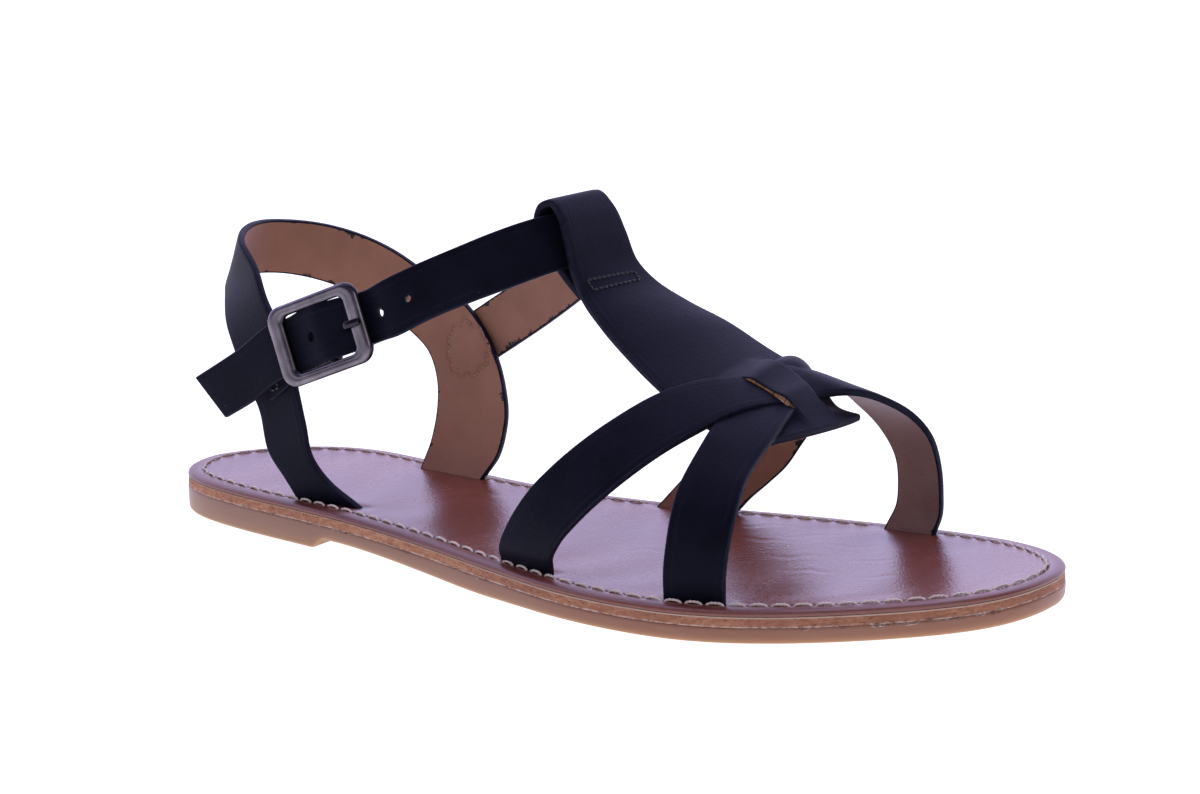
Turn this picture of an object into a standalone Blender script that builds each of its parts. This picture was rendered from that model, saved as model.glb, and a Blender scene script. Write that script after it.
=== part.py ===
"""A right-foot t-strap sandal: flat sole in three layers, four leather straps, one buckle.

X runs from the heel to the toe, Y from the buckle side to the inner side, Z up from the ground.
Section tables give X in percent of LENGTH, Y of BALL_WIDTH and Z of INSTEP_HEIGHT.
"""

import math

import bpy
import bmesh
import numpy as np
from mathutils import Matrix, Vector

# Driving sizes, in metres
LENGTH = 0.250
BALL_WIDTH = 0.090
INSTEP_HEIGHT = 0.090
HEEL_RISE = 0.00285
TOE_SPRING = 0.0060
SIDE_SHIFT = 0.00592

# Layers of the sole
OUTSOLE = 0.0037
BOARD = 0.0022
COVER = 0.0015
BOARD_INSET = 0.0002
GAP = 0.0003
WELD_REACH = 0.00003

# Straps
LEATHER = 0.0019
ANKLE_LEATHER = 0.0018
EDGE_ROUND = 0.0005
FACE_TRIM = 0.0011
SLOT_CLEAR = 0.0006
T_CROWN = 0.0023
T_CROWN_FADE = (0.075, 0.045)
TAIL_BULGE = 0.0030
TAIL_REACH = 0.0120
FRONT_LEAF = 0.0625
SEAM_DEPTH = 0.0029
SEAM_SIZE = (0.0050, 0.0180, 0.0016)
STRAP_STATIONS = 38
BACK_STATIONS = 40
T_STATIONS = 54
ANKLE_STATIONS = 54
HOLE_SEARCH_STATIONS = 240

# The knot: where the strip between the two slits stands above the rest of the T-strap
STRIP_LIFT = 0.0051
LIFT_REAR = (0.1580, 0.1710)
LIFT_FRONT = (0.1850, 0.1930)
SLIT_ENDS = (0.1665, 0.1872)
SLIT_SHARES = (0.355, 0.675)
SLIT_OPEN = 0.008
MARGIN_FADE = 0.0050

# Buckle: centre, slope of its long axis, turn toward the instep, lean of its top, own sizes
BUCKLE_CENTRE = (0.0680, -0.0346, 0.0566)
BUCKLE_SLOPE = math.radians(21.6)
BUCKLE_TURN = math.radians(6.0)
BUCKLE_LEAN = math.radians(-6.0)
FRAME_LONG = 0.0284
FRAME_TALL = 0.0206
FRAME_THICK = 0.0024
SIDE_BAR = 0.0048
EDGE_BAR = 0.0029
BAR_DEPTH = 0.0036
BAR_RADIUS = 0.0006
FRAME_CORNER = 0.0042
FRAME_INNER_CORNER = 0.0018
CURL = 0.0009
CURL_STEPS = 9
PRONG_LEVEL = -0.0003

# Section of a bar of the frame: share of the way inward, height in thicknesses of the frame
BAR_SECTION = (
    (0.0, -0.3),
    (0.0, 0.3),
    (0.22, 0.5),
    (0.78, 0.5),
    (1.0, 0.3),
    (1.0, -0.3),
    (0.78, -0.5),
    (0.22, -0.5),
)

# share of the length, half width toward the buckle side, half width toward the inner side
OUTLINE = (
    (1.0, 12.1, 9.1),
    (3.0, 19.2, 17.1),
    (6.0, 24.2, 24.9),
    (10.0, 27.8, 30.8),
    (15.0, 30.7, 32.8),
    (20.0, 32.9, 31.2),
    (30.0, 37.1, 25.9),
    (40.0, 42.6, 25.4),
    (50.0, 49.7, 30.8),
    (60.0, 56.0, 37.6),
    (65.0, 57.3, 40.6),
    (70.0, 56.8, 42.9),
    (75.0, 54.0, 44.1),
    (80.0, 49.1, 43.8),
    (85.0, 42.9, 41.3),
    (90.0, 36.0, 36.1),
    (94.0, 29.8, 28.8),
    (97.0, 23.2, 20.3),
    (99.0, 14.7, 11.6),
)

# Each strap row: name, then X, Y, Z of its rear edge and X, Y, Z of its front edge
OUTER_STRAP = (
    ("lateral foot", 50.6, -47.3, 9.9, 57.7, -50.0, 9.6),
    ("lateral turn", 50.6, -48.0, 14.4, 57.5, -50.9, 13.6),
    ("lateral low", 51.9, -48.7, 21.7, 58.6, -52.0, 18.7),
    ("lateral side", 53.8, -48.0, 29.8, 60.1, -51.8, 23.6),
    ("lateral high", 56.1, -46.2, 37.1, 62.4, -50.2, 30.4),
    ("lateral shoulder", 58.6, -41.8, 44.2, 64.8, -46.4, 37.1),
    ("lateral bend", 61.0, -35.3, 50.2, 67.0, -40.0, 42.9),
    ("lateral top", 63.4, -26.0, 55.3, 69.2, -30.7, 47.8),
    ("over the margin", 65.9, -15.1, 58.2, 71.5, -18.9, 51.1),
    ("lateral slit", 68.0, -6.7, 58.9, 74.2, -6.7, 51.4),
    ("medial slit", 68.4, 8.9, 58.4, 74.0, 8.9, 51.1),
    ("medial top", 70.4, 18.9, 56.0, 76.2, 16.1, 52.0),
    ("medial bend", 71.6, 31.1, 50.5, 78.2, 26.1, 48.7),
    ("medial shoulder", 72.3, 38.9, 44.9, 79.8, 34.4, 43.1),
    ("medial high", 74.3, 42.4, 37.8, 81.0, 38.7, 36.7),
    ("medial side", 76.0, 43.6, 28.9, 81.8, 40.9, 28.4),
    ("medial low", 76.5, 43.3, 20.6, 82.0, 41.8, 21.1),
    ("medial turn", 76.1, 42.4, 14.4, 81.8, 41.8, 14.0),
    ("medial foot", 75.5, 41.1, 9.4, 81.0, 40.9, 9.4),
)
INNER_STRAP = (
    ("lateral foot", 69.7, -51.6, 9.4, 75.8, -47.8, 9.4),
    ("lateral turn", 69.8, -52.3, 15.6, 76.0, -48.7, 15.6),
    ("lateral low", 70.0, -51.8, 23.3, 76.3, -48.2, 24.4),
    ("lateral side", 70.0, -49.6, 30.0, 76.4, -45.6, 31.1),
    ("lateral high", 69.8, -44.4, 36.9, 76.1, -40.6, 36.9),
    ("lateral bend", 69.8, -32.2, 47.2, 75.8, -33.8, 41.3),
    ("over the margin", 69.2, -18.9, 53.1, 75.3, -21.1, 47.1),
    ("lateral slit", 68.4, -6.7, 56.4, 74.6, -6.7, 49.6),
    ("medial slit", 67.9, 8.9, 57.3, 73.6, 8.9, 49.8),
    ("medial top", 67.0, 16.7, 57.2, 71.3, 20.0, 53.3),
    ("medial bend", 65.2, 24.4, 54.4, 69.2, 28.9, 51.2),
    ("medial shoulder", 63.2, 30.0, 49.6, 68.9, 37.8, 41.7),
    ("medial high", 61.6, 34.0, 45.6, 67.5, 40.6, 34.4),
    ("medial side", 59.8, 36.2, 38.4, 65.9, 41.2, 27.8),
    ("medial low", 58.0, 36.2, 31.1, 64.5, 40.4, 21.8),
    ("medial ankle", 55.8, 34.4, 23.9, 62.8, 38.6, 16.7),
    ("medial turn", 53.6, 31.3, 16.1, 61.2, 36.0, 12.2),
    ("medial foot", 51.9, 28.2, 9.6, 60.4, 34.0, 9.3),
)
# Extra bulge of the inner strap's section at the hump on its inner side
INNER_CROWN = {
    "medial slit": 0.0005,
    "medial top": 0.0018,
    "medial bend": 0.0026,
    "medial shoulder": 0.0010,
}
# The back strap's rows give its rear, lower edge first
BACK_STRAP = (
    ("lateral foot", 20.5, -28.4, 13.3, 28.5, -27.8, 13.3),
    ("lateral turn", 19.2, -29.3, 17.4, 25.3, -29.1, 16.9),
    ("lateral low", 17.3, -30.0, 25.0, 23.0, -30.4, 24.4),
    ("lateral side", 16.6, -30.9, 36.7, 22.5, -32.0, 35.0),
    ("lateral high", 14.6, -30.2, 45.6, 21.6, -32.7, 47.8),
    ("lateral shoulder", 12.4, -27.3, 52.9, 19.8, -31.8, 60.0),
    ("lateral bend", 10.1, -22.9, 59.3, 17.2, -29.6, 68.9),
    ("heel lateral", 7.8, -15.6, 65.3, 14.6, -25.1, 76.9),
    ("heel corner", 6.2, -9.4, 68.2, 11.2, -19.4, 82.7),
    ("heel back", 5.5, -1.1, 69.3, 8.3, -6.7, 85.3),
    ("heel back medial", 6.0, 6.8, 69.1, 7.5, 4.8, 85.3),
    ("heel medial", 7.7, 15.0, 67.8, 9.5, 16.5, 83.8),
    ("medial bend", 11.4, 23.0, 64.2, 13.2, 24.1, 80.9),
    ("medial top", 16.2, 27.1, 58.0, 18.0, 28.4, 75.6),
    ("medial high", 20.4, 28.7, 51.3, 22.8, 30.2, 68.0),
    ("medial shoulder", 22.8, 29.1, 45.3, 27.4, 30.9, 60.3),
    ("medial side", 24.1, 28.0, 37.8, 30.7, 29.8, 50.0),
    ("medial low", 24.5, 26.2, 28.9, 32.7, 28.2, 37.8),
    ("medial ankle", 24.2, 24.2, 20.0, 33.4, 26.0, 26.7),
    ("medial turn", 23.8, 23.1, 15.6, 32.9, 23.2, 17.2),
    ("medial foot", 23.5, 22.4, 12.9, 32.0, 21.6, 12.9),
)

# The T-strap from its free tail to the end of the leaf folded back inside: lateral, then medial edge
T_STRAP = (
    ("tail", 74.4, -21.7, 43.9, 75.6, 22.2, 44.0),
    ("tail root", 72.0, -23.3, 45.8, 73.8, 20.2, 46.0),
    ("slit end", 69.0, -24.0, 48.7, 71.0, 24.7, 50.4),
    ("slit start", 65.8, -23.8, 52.2, 68.2, 24.7, 55.1),
    ("flare", 62.7, -22.2, 56.0, 65.2, 23.9, 59.2),
    ("flare start", 58.4, -18.9, 62.7, 61.2, 21.1, 66.0),
    ("neck", 54.8, -15.6, 69.1, 57.4, 17.8, 71.3),
    ("neck top", 51.9, -12.8, 76.2, 53.9, 16.0, 76.9),
    ("seam", 50.6, -11.7, 82.9, 52.2, 15.0, 81.8),
    ("loop front", 49.8, -11.1, 90.6, 50.9, 14.8, 89.8),
    ("loop shoulder", 49.0, -10.6, 97.0, 49.6, 14.6, 96.5),
    ("loop top", 47.7, -10.2, 100.5, 47.9, 14.4, 100.5),
    ("loop back", 46.1, -10.2, 99.0, 46.2, 14.2, 99.0),
    ("back leaf", 45.5, -10.4, 94.5, 45.6, 14.2, 94.5),
    ("back leaf middle", 46.4, -10.7, 86.8, 46.6, 14.2, 86.8),
    ("back leaf low", 47.8, -10.9, 79.3, 48.0, 14.2, 79.1),
    ("back leaf end", 50.0, -11.3, 73.8, 50.8, 14.4, 73.4),
)

# The ankle strap from its free tail, under the buckle and round the instep: upper, then lower edge
ANKLE_TAIL = (
    ("tail end", 10.3, -37.8, 45.8, 14.2, -37.8, 35.3),
    ("tail", 15.9, -37.9, 55.1, 17.6, -37.9, 40.7),
)
ANKLE_RING = (
    ("side", 33.7, -34.6, 78.8, 35.6, -35.5, 64.2),
    ("quarter", 37.0, -31.1, 83.6, 39.0, -32.2, 69.4),
    ("instep side", 40.9, -27.4, 88.6, 42.9, -28.4, 74.3),
    ("instep", 44.0, -20.8, 92.8, 46.6, -21.8, 78.8),
    ("loop mouth", 46.2, -14.0, 95.4, 48.6, -14.2, 81.3),
    ("loop lateral", 47.4, -7.8, 96.5, 49.6, -7.8, 82.4),
    ("loop medial", 47.4, 13.6, 95.6, 49.7, 13.8, 81.7),
    ("medial mouth", 46.0, 19.8, 91.0, 48.1, 20.6, 77.6),
    ("medial instep", 42.0, 25.6, 83.0, 44.2, 25.8, 69.4),
    ("medial side", 36.7, 30.2, 73.4, 38.9, 30.2, 59.6),
    ("medial quarter", 31.5, 32.5, 65.1, 34.1, 32.1, 51.1),
    ("medial end", 26.4, 33.1, 56.2, 29.1, 32.6, 42.4),
    ("under the rosette", 23.2, 32.8, 50.6, 25.9, 31.8, 36.8),
)

# The ankle strap in the buckle's own axes: along, sideways, height of its face, half width
BUCKLE_PATH = (
    ("behind the rear bar", -0.0142, 0.0004, -0.0018, 0.0070),
    ("inside the rear bar", -0.0096, 0.0002, -0.0016, 0.0069),
    ("rising", -0.0045, 0.0, -0.0003, 0.0067),
    ("over the centre bar", 0.0, -0.0001, 0.0005, 0.0067),
    ("falling", 0.0045, -0.0001, -0.0003, 0.0067),
    ("inside the front bar", 0.0096, -0.0002, -0.0016, 0.0069),
    ("in front of the bar", 0.0142, -0.0004, -0.0019, 0.0070),
)
HOLE_RADIUS = 0.0009
PRONG_HOLE_RADIUS = 0.0015
PRONG_HOLE_STRETCH = 1.5
PRONG_HOLE = 29.9
HOLES = (26.0, PRONG_HOLE, 33.5, 36.6)
PEG_ENDS = (0.0010, -0.0040)

# Buckle tab in the buckle's own axes: along, height of its middle, lower edge, upper edge
TAB_PATH = (
    ("rear end", -0.0260, -0.00850, -0.0102, 0.0060),
    ("stitched end", -0.0235, -0.00795, -0.0098, 0.0064),
    ("rear", -0.0200, -0.00705, -0.0090, 0.0066),
    ("middle", -0.0165, -0.00630, -0.0080, 0.0066),
    ("under the rear bar", -0.0120, -0.00530, -0.0072, 0.0066),
    ("before the curl", -0.0040, -0.00500, -0.0068, 0.0066),
)
TAB_LOW = -0.0068
TAB_HIGH = 0.0066
TAB_CURL = (-90.0, 120.0)
# Along and height of the short end of the tab, folded back over the centre bar
TAB_RETURN = ((-0.0030, -0.0032), (-0.0048, -0.0038))
NOTCH_AT = 0.0010
NOTCH_SIZE = (0.0068, 0.0034, 0.0060)

# Prong in the buckle's own axes: along, height of its middle, width
PRONG_THICK = 0.0009
PRONG_CURL = (100.0, 360.0)
PRONG_CURL_HALF = 0.0012
PRONG_PATH = (
    ("under the strap", 0.0032, -0.0037, 0.0020),
    ("before the hole", 0.0056, -0.0033, 0.0018),
    ("in the hole", 0.0071, -0.0013, 0.0017),
    ("above the strap", 0.0081, 0.0011, 0.0017),
    ("before the bar", 0.0092, 0.0020, 0.0018),
    ("on the bar", 0.0116, 0.0021, 0.0018),
    ("tip", 0.0134, 0.0019, 0.0016),
)

# Finish: colour, roughness, metallic
FINISHES = {
    "outsole": ((0.42, 0.23, 0.12), 0.55, 0.0),
    "board": ((0.36, 0.16, 0.08), 0.75, 0.0),
    "footbed": ((0.16, 0.045, 0.035), 0.35, 0.0),
    "strap": ((0.012, 0.012, 0.030), 0.50, 0.0),
    "metal": ((0.22, 0.20, 0.23), 0.35, 1.0),
}


def clear_scene():
    for obj in list(bpy.data.objects):
        bpy.data.objects.remove(obj)


def finish(name):
    """The named material, made once."""
    found = bpy.data.materials.get(name)
    if found:
        return found
    colour, roughness, metallic = FINISHES[name]
    made = bpy.data.materials.new(name)
    made.use_nodes = True
    shader = made.node_tree.nodes["Principled BSDF"]
    shader.inputs["Base Color"].default_value = (*colour, 1.0)
    shader.inputs["Roughness"].default_value = roughness
    shader.inputs["Metallic"].default_value = metallic
    return made


def solid(name, points, faces, slot, parent=None, sharp=40.0):
    """One closed mesh object with its faces turned outward."""
    mesh = bpy.data.meshes.new(name)
    mesh.from_pydata([tuple(point) for point in points], [], faces)
    work = bmesh.new()
    work.from_mesh(mesh)
    bmesh.ops.triangulate(work, faces=work.faces)
    bmesh.ops.recalc_face_normals(work, faces=work.faces)
    work.to_mesh(mesh)
    work.free()
    mesh.shade_smooth()
    mesh.set_sharp_from_angle(angle=math.radians(sharp))
    mesh.materials.append(finish(slot))
    obj = bpy.data.objects.new(name, mesh)
    bpy.context.scene.collection.objects.link(obj)
    obj.parent = parent
    return obj


def helper(name, points, faces, parent=None):
    """A mesh that only cuts or joins, and is never rendered."""
    obj = solid(name, points, faces, "strap", parent)
    obj.hide_render = True
    obj.display_type = "WIRE"
    return obj


def combine(obj, other, operation):
    """Cuts or joins; a join also resolves a sheet that nearly touches itself."""
    modifier = obj.modifiers.new(other.name, "BOOLEAN")
    modifier.operation = operation
    modifier.solver = "EXACT"
    modifier.use_self = operation == "UNION"
    modifier.object = other


def weld(obj):
    """Merges the almost coincident corners that joining leaves behind."""
    modifier = obj.modifiers.new("weld", "WELD")
    modifier.merge_threshold = WELD_REACH


def smoothstep(value, start, end):
    share = min(1.0, max(0.0, (value - start) / (end - start)))
    return share * share * (3.0 - 2.0 * share)


# Sole heights at a distance x from the heel


def base_height(x):
    """Lowest possible wearing surface, before the heel is added below it."""
    rise = HEEL_RISE * (1.0 - smoothstep(x / LENGTH, 0.22, 0.62))
    spring = TOE_SPRING * (max(0.0, x / LENGTH - 0.70) / 0.30) ** 2
    return rise + spring


def outsole_bottom(x):
    """Ground under the heel, then up the heel breast, along the shank and down to the ball."""
    breast = smoothstep(x / LENGTH, 0.236, 0.266)
    shank = 1.0 - smoothstep(x / LENGTH, 0.266, 0.50)
    spring = TOE_SPRING * (max(0.0, x / LENGTH - 0.70) / 0.30) ** 2
    return HEEL_RISE * breast * shank + spring


def outsole_top(x):
    """Joint between the outsole and the board."""
    return base_height(x) + OUTSOLE


def board_bottom(x):
    return outsole_top(x) + GAP


def board_top(x):
    return board_bottom(x) + BOARD


def cover_bottom(x):
    return board_top(x) + GAP


def outline_loop(stations):
    """Ground outline as one loop: heel point, buckle side to the toe point, inner side back."""
    share = np.array([row[0] for row in OUTLINE]) / 100.0
    angle = np.concatenate(([0.0], np.arccos(1.0 - 2.0 * share), [math.pi]))
    sides = np.array([row[1:] for row in OUTLINE]) / 100.0 * BALL_WIDTH
    sides = np.vstack(([0.0, 0.0], sides, [0.0, 0.0]))
    slope = np.gradient(sides, angle, axis=0)
    wanted = np.linspace(0.0, math.pi, stations + 2)[1:-1]
    at = np.clip(np.searchsorted(angle, wanted, side="right") - 1, 0, len(angle) - 2)
    half = hermite(angle, sides, slope, wanted, at)
    x = LENGTH * (1.0 - np.cos(wanted)) / 2.0
    lateral = np.column_stack((x, -half[:, 0]))
    medial = np.column_stack((x, half[:, 1]))
    middle_toe = (half[-1, 1] - half[-1, 0]) / 2.0
    middle_heel = (half[0, 1] - half[0, 0]) / 2.0
    return np.vstack(([0.0, middle_heel], lateral, [LENGTH, middle_toe], medial[::-1]))


def hermite(knots, values, slope, wanted, at):
    """Smooth values between knots, from the values and slopes of the knots."""
    step = (knots[at + 1] - knots[at])[:, None]
    part = (wanted - knots[at])[:, None] / step
    start = (2 * part**3 - 3 * part**2 + 1) * values[at]
    leave = (part**3 - 2 * part**2 + part) * step * slope[at]
    end = (-2 * part**3 + 3 * part**2) * values[at + 1]
    arrive = (part**3 - part**2) * step * slope[at + 1]
    return start + leave + end + arrive


def inset_loop(loop, inset):
    """The loop moved inward, square to its own direction."""
    along = np.roll(loop, -1, axis=0) - np.roll(loop, 1, axis=0)
    along /= np.linalg.norm(along, axis=1)[:, None]
    inward = np.column_stack((-along[:, 1], along[:, 0]))
    return loop + inward * inset


def slab(rings, stations=52):
    """Closed layer from rings of (inset, height at x), lowest ring first."""
    loop = outline_loop(stations)
    count = len(loop)
    points = []
    for inset, height in rings:
        ring = inset_loop(loop, inset)
        points += [(x, y, height(start[0])) for (x, y), start in zip(ring, loop)]
    faces = []
    for level in range(len(rings) - 1):
        low = level * count
        for i in range(count):
            j = (i + 1) % count
            faces.append((low + i, low + j, low + count + j, low + count + i))
    for low, flip in ((0, True), ((len(rings) - 1) * count, False)):
        for i in range(stations + 1):
            left, right = low + i, low + i + 1
            far, near = low + (count - i - 1), low + (count - i) % count
            face = tuple(dict.fromkeys((left, right, far, near)))
            faces.append(face[::-1] if flip else face)
    return points, faces


# Straps


def table(rows, crowns=None):
    """Rows in metres without their names, each with the crown of its section at the end."""
    scale = (LENGTH, BALL_WIDTH, INSTEP_HEIGHT) * 2
    made = []
    for row in rows:
        crown = (crowns or {}).get(row[0], 0.0)
        made.append([value / 100.0 * size for value, size in zip(row[1:], scale)] + [crown])
    return made


def with_feet(rows):
    """Carries both ends straight down through the footbed to just above the board."""
    first, last = list(rows[0]), list(rows[-1])
    for row in (first, last):
        row[2] = cover_bottom(row[0])
        row[5] = cover_bottom(row[3])
    return [first, *rows, last]


def sections(rows, count, trims=(0.0, 0.0)):
    """Even sections along a strap: both edges, outward and run directions, crown."""
    rows = np.array(rows)
    middle = (rows[:, 0:3] + rows[:, 3:6]) / 2.0
    steps = np.linalg.norm(np.diff(middle, axis=0), axis=1)
    along = np.concatenate(([0.0], np.cumsum(steps)))
    slope = np.gradient(rows, along, axis=0)
    wanted = np.linspace(0.0, along[-1], count)
    at = np.clip(np.searchsorted(along, wanted, side="right") - 1, 0, len(along) - 2)
    values = hermite(along, rows, slope, wanted, at)
    first, second = values[:, 0:3], values[:, 3:6]
    across = second - first
    across /= np.linalg.norm(across, axis=1)[:, None]
    first, second = first + across * trims[0], second - across * trims[1]
    run = np.gradient((first + second) / 2.0, wanted, axis=0)
    run /= np.linalg.norm(run, axis=1)[:, None]
    outward = np.cross(second - first, run)
    outward /= np.linalg.norm(outward, axis=1)[:, None]
    return first, second, outward, run, values[:, 6]


def ribbon(rows, count, thickness=LEATHER, across=4, trims=(0.0, 0.0)):
    """A strap of even thickness with rounded edges, laid through its rows."""
    first, second, outward, _, crowns = sections(rows, count, trims)
    points = []
    for start, end, out, crown in zip(first, second, outward, crowns):
        width = np.linalg.norm(end - start)
        inset = EDGE_ROUND / width
        shares = np.linspace(inset, 1.0 - inset, across)
        bends = [crown * (1.0 - (2.0 * share - 1.0) ** 2) for share in shares]
        top = [start + (end - start) * share + out * bend for share, bend in zip(shares, bends)]
        points += top
        points += [end - out * EDGE_ROUND, end - out * (thickness - EDGE_ROUND)]
        points += [point - out * thickness for point in top[::-1]]
        points += [start - out * (thickness - EDGE_ROUND), start - out * EDGE_ROUND]
    ring = 2 * across + 4
    faces = []
    for level in range(count - 1):
        low = level * ring
        for i in range(ring):
            j = (i + 1) % ring
            faces.append((low + i, low + j, low + ring + j, low + ring + i))
    faces.append(tuple(range(ring))[::-1])
    faces.append(tuple(range((count - 1) * ring, count * ring)))
    return points, faces


def slot_boxes(straps):
    """One box round each strap foot, wider than the foot by SLOT_CLEAR all round."""
    points, faces = [], []
    for rows in straps:
        for row, side in ((rows[0], 1.0), (rows[-1], -1.0)):
            rear, front = np.array(row[0:3]), np.array(row[3:6])
            across = front - rear
            across[2] = 0.0
            across /= np.linalg.norm(across)
            outward = np.cross(across, (0.0, 0.0, side))
            low = cover_bottom(rear[0]) - 2.0 * GAP
            high = low + 4.0 * COVER
            corners = (
                rear - across * SLOT_CLEAR + outward * SLOT_CLEAR,
                front + across * SLOT_CLEAR + outward * SLOT_CLEAR,
                front + across * SLOT_CLEAR - outward * (LEATHER + SLOT_CLEAR),
                rear - across * SLOT_CLEAR - outward * (LEATHER + SLOT_CLEAR),
            )
            at = len(points)
            points += [(x, y, low) for x, y, _ in corners]
            points += [(x, y, high) for x, y, _ in corners]
            faces += [(at, at + 1, at + 2, at + 3), (at + 7, at + 6, at + 5, at + 4)]
            for i in range(4):
                j = (i + 1) % 4
                faces.append((at + i, at + 4 + i, at + 4 + j, at + j))
    return points, faces


# The T-strap


def strip_lift(x):
    """Height of the strip between the slits above the rest of the T-strap."""
    rear = smoothstep(x, *LIFT_REAR)
    front = 1.0 - smoothstep(x, *LIFT_FRONT)
    return STRIP_LIFT * rear * front


def margin_lift(x):
    """Lift of the margins beside the slits: it follows the strip outside them and fades inside."""
    if x <= SLIT_ENDS[0] or x >= SLIT_ENDS[1]:
        return strip_lift(x)
    near = min(SLIT_ENDS, key=lambda end: abs(end - x))
    return strip_lift(near) * max(0.0, 1.0 - abs(x - near) / MARGIN_FADE) ** 2


def t_columns(width, opening):
    """Shares of the width for the margin, the strip and the other margin."""
    inset = EDGE_ROUND / width
    lateral, medial = SLIT_SHARES
    left = (inset, 0.12, 0.25, lateral - opening)
    strip = (lateral + opening, 0.46, 0.57, medial - opening)
    right = (medial + opening, 0.78, 0.90, 1.0 - inset)
    return (left, strip, right)


def t_point(start, end, out, run, share, part, reach):
    """A point of the T-strap's outer face, with its crown, tail arc and lifted strip."""
    bend = 1.0 - (2.0 * share - 1.0) ** 2
    spread = smoothstep(reach, *T_CROWN_FADE)
    point = start + (end - start) * share + out * T_CROWN * bend * spread
    arc = max(0.0, 1.0 - reach / TAIL_REACH) ** 2
    point = point - run * TAIL_BULGE * bend * arc
    if reach > FRONT_LEAF:
        return point
    if part == 1:
        return point + out * strip_lift(point[0])
    nearness = share / SLIT_SHARES[0] if part == 0 else (1.0 - share) / (1.0 - SLIT_SHARES[1])
    return point + out * margin_lift(point[0]) * nearness**3


def t_strap(rows, count):
    """The T-strap as one sheet with two slits, the strip between them standing proud."""
    first, second, outward, run, _ = sections(rows, count, (FACE_TRIM, 0.0))
    middle = (first + second) / 2.0
    steps = np.linalg.norm(np.diff(middle, axis=0), axis=1)
    reach = np.concatenate(([0.0], np.cumsum(steps)))
    points, index, slit = [], {}, []
    for i in range(count):
        width = np.linalg.norm(second[i] - first[i])
        at = first[i][0] + TAIL_BULGE * max(0.0, 1.0 - reach[i] / TAIL_REACH) ** 2
        cut = SLIT_ENDS[0] < at < SLIT_ENDS[1] and reach[i] < FRONT_LEAF
        parts = t_columns(width, SLIT_OPEN if cut else 0.0)
        frame = (first[i], second[i], outward[i], run[i])
        line = [
            [t_point(*frame, share, part, reach[i]) for share in shares]
            for part, shares in enumerate(parts)
        ]
        slit.append(cut)
        for part, column in enumerate(line):
            for k, point in enumerate(column):
                if part and k == 0 and not slit[i]:
                    index[i, part, k, 0] = index[i, part - 1, 3, 0]
                    index[i, part, k, 1] = index[i, part - 1, 3, 1]
                    continue
                index[i, part, k, 0] = len(points)
                index[i, part, k, 1] = len(points) + 1
                points += [point, point - outward[i] * LEATHER]
        arc = first[i] - outward[i] * EDGE_ROUND, second[i] - outward[i] * EDGE_ROUND
        for side, (edge, part, k) in enumerate(((arc[0], 0, -1), (arc[1], 2, 4))):
            index[i, part, k, 0] = len(points)
            index[i, part, k, 1] = len(points) + 1
            points += [edge, edge - outward[i] * (LEATHER - 2.0 * EDGE_ROUND)]
    spans = [(0, -1, 0), *((part, k, k + 1) for part in range(3) for k in range(3)), (2, 3, 4)]
    faces = []
    for i in range(count - 1):
        j = i + 1
        for part, a, b in spans:
            around = ((i, a), (i, b), (j, b), (j, a))
            faces.append(tuple(index[level, part, k, 0] for level, k in around))
            faces.append(tuple(index[level, part, k, 1] for level, k in around[::-1]))
        walls = [(0, -1, 1), (2, 4, -1)]
        if slit[i] or slit[j]:
            walls += [(0, 3, -1), (1, 0, 1), (1, 3, -1), (2, 0, 1)]
        for part, k, turn in walls:
            around = ((i, 0), (j, 0), (j, 1), (i, 1))
            wall = tuple(index[level, part, k, side] for level, side in around)
            faces.append(wall[::turn])
    for i in (0, count - 1):
        for part, a, b in spans:
            around = ((a, 0), (a, 1), (b, 1), (b, 0))
            faces.append(tuple(index[i, part, k, side] for k, side in around))
    return points, faces


def box_points(centre, axes, sizes):
    """Eight corners and six faces of a box in its own axes."""
    points = []
    for c in (-0.5, 0.5):
        for b in (-0.5, 0.5):
            for a in (-0.5, 0.5):
                sides = zip(axes, sizes, (a, b, c))
                points.append(centre + sum(axis * size * share for axis, size, share in sides))
    faces = [(0, 2, 3, 1), (4, 5, 7, 6), (0, 1, 5, 4), (2, 6, 7, 3), (0, 4, 6, 2), (1, 3, 7, 5)]
    return points, faces


def seam_block(rows):
    """Thickness of the stitched seam between the front leaf and the leaf folded back."""
    names = [row[0] for row in T_STRAP]
    high = np.array(rows[names.index("seam")])
    low = np.array(rows[names.index("neck top")])
    centre = (high[0:3] + high[3:6] + low[0:3] + low[3:6]) / 4.0
    run = (high[0:3] + high[3:6] - low[0:3] - low[3:6]) / 2.0
    run /= np.linalg.norm(run)
    across = high[3:6] - high[0:3]
    across -= run * np.dot(across, run)
    across /= np.linalg.norm(across)
    outward = np.cross(across, run)
    return box_points(centre - outward * SEAM_DEPTH, (run, across, outward), SEAM_SIZE)


# The ankle strap and the buckle


def buckle_axes():
    """Long axis, short axis and outward axis of the buckle."""
    level, rise = math.cos(BUCKLE_SLOPE), math.sin(BUCKLE_SLOPE)
    along = Vector((level * math.cos(BUCKLE_TURN), level * math.sin(BUCKLE_TURN), rise))
    side = Vector((math.sin(BUCKLE_TURN), -math.cos(BUCKLE_TURN), 0.0))
    up = side.cross(along)
    side = along.cross(up)
    up = up * math.cos(BUCKLE_LEAN) + side * math.sin(BUCKLE_LEAN)
    return along, up, along.cross(up)


def in_buckle(along, up, out):
    """A point given in the buckle's own axes, in the shoe's."""
    axes = buckle_axes()
    return Vector(BUCKLE_CENTRE) + axes[0] * along + axes[1] * up + axes[2] * out


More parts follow.
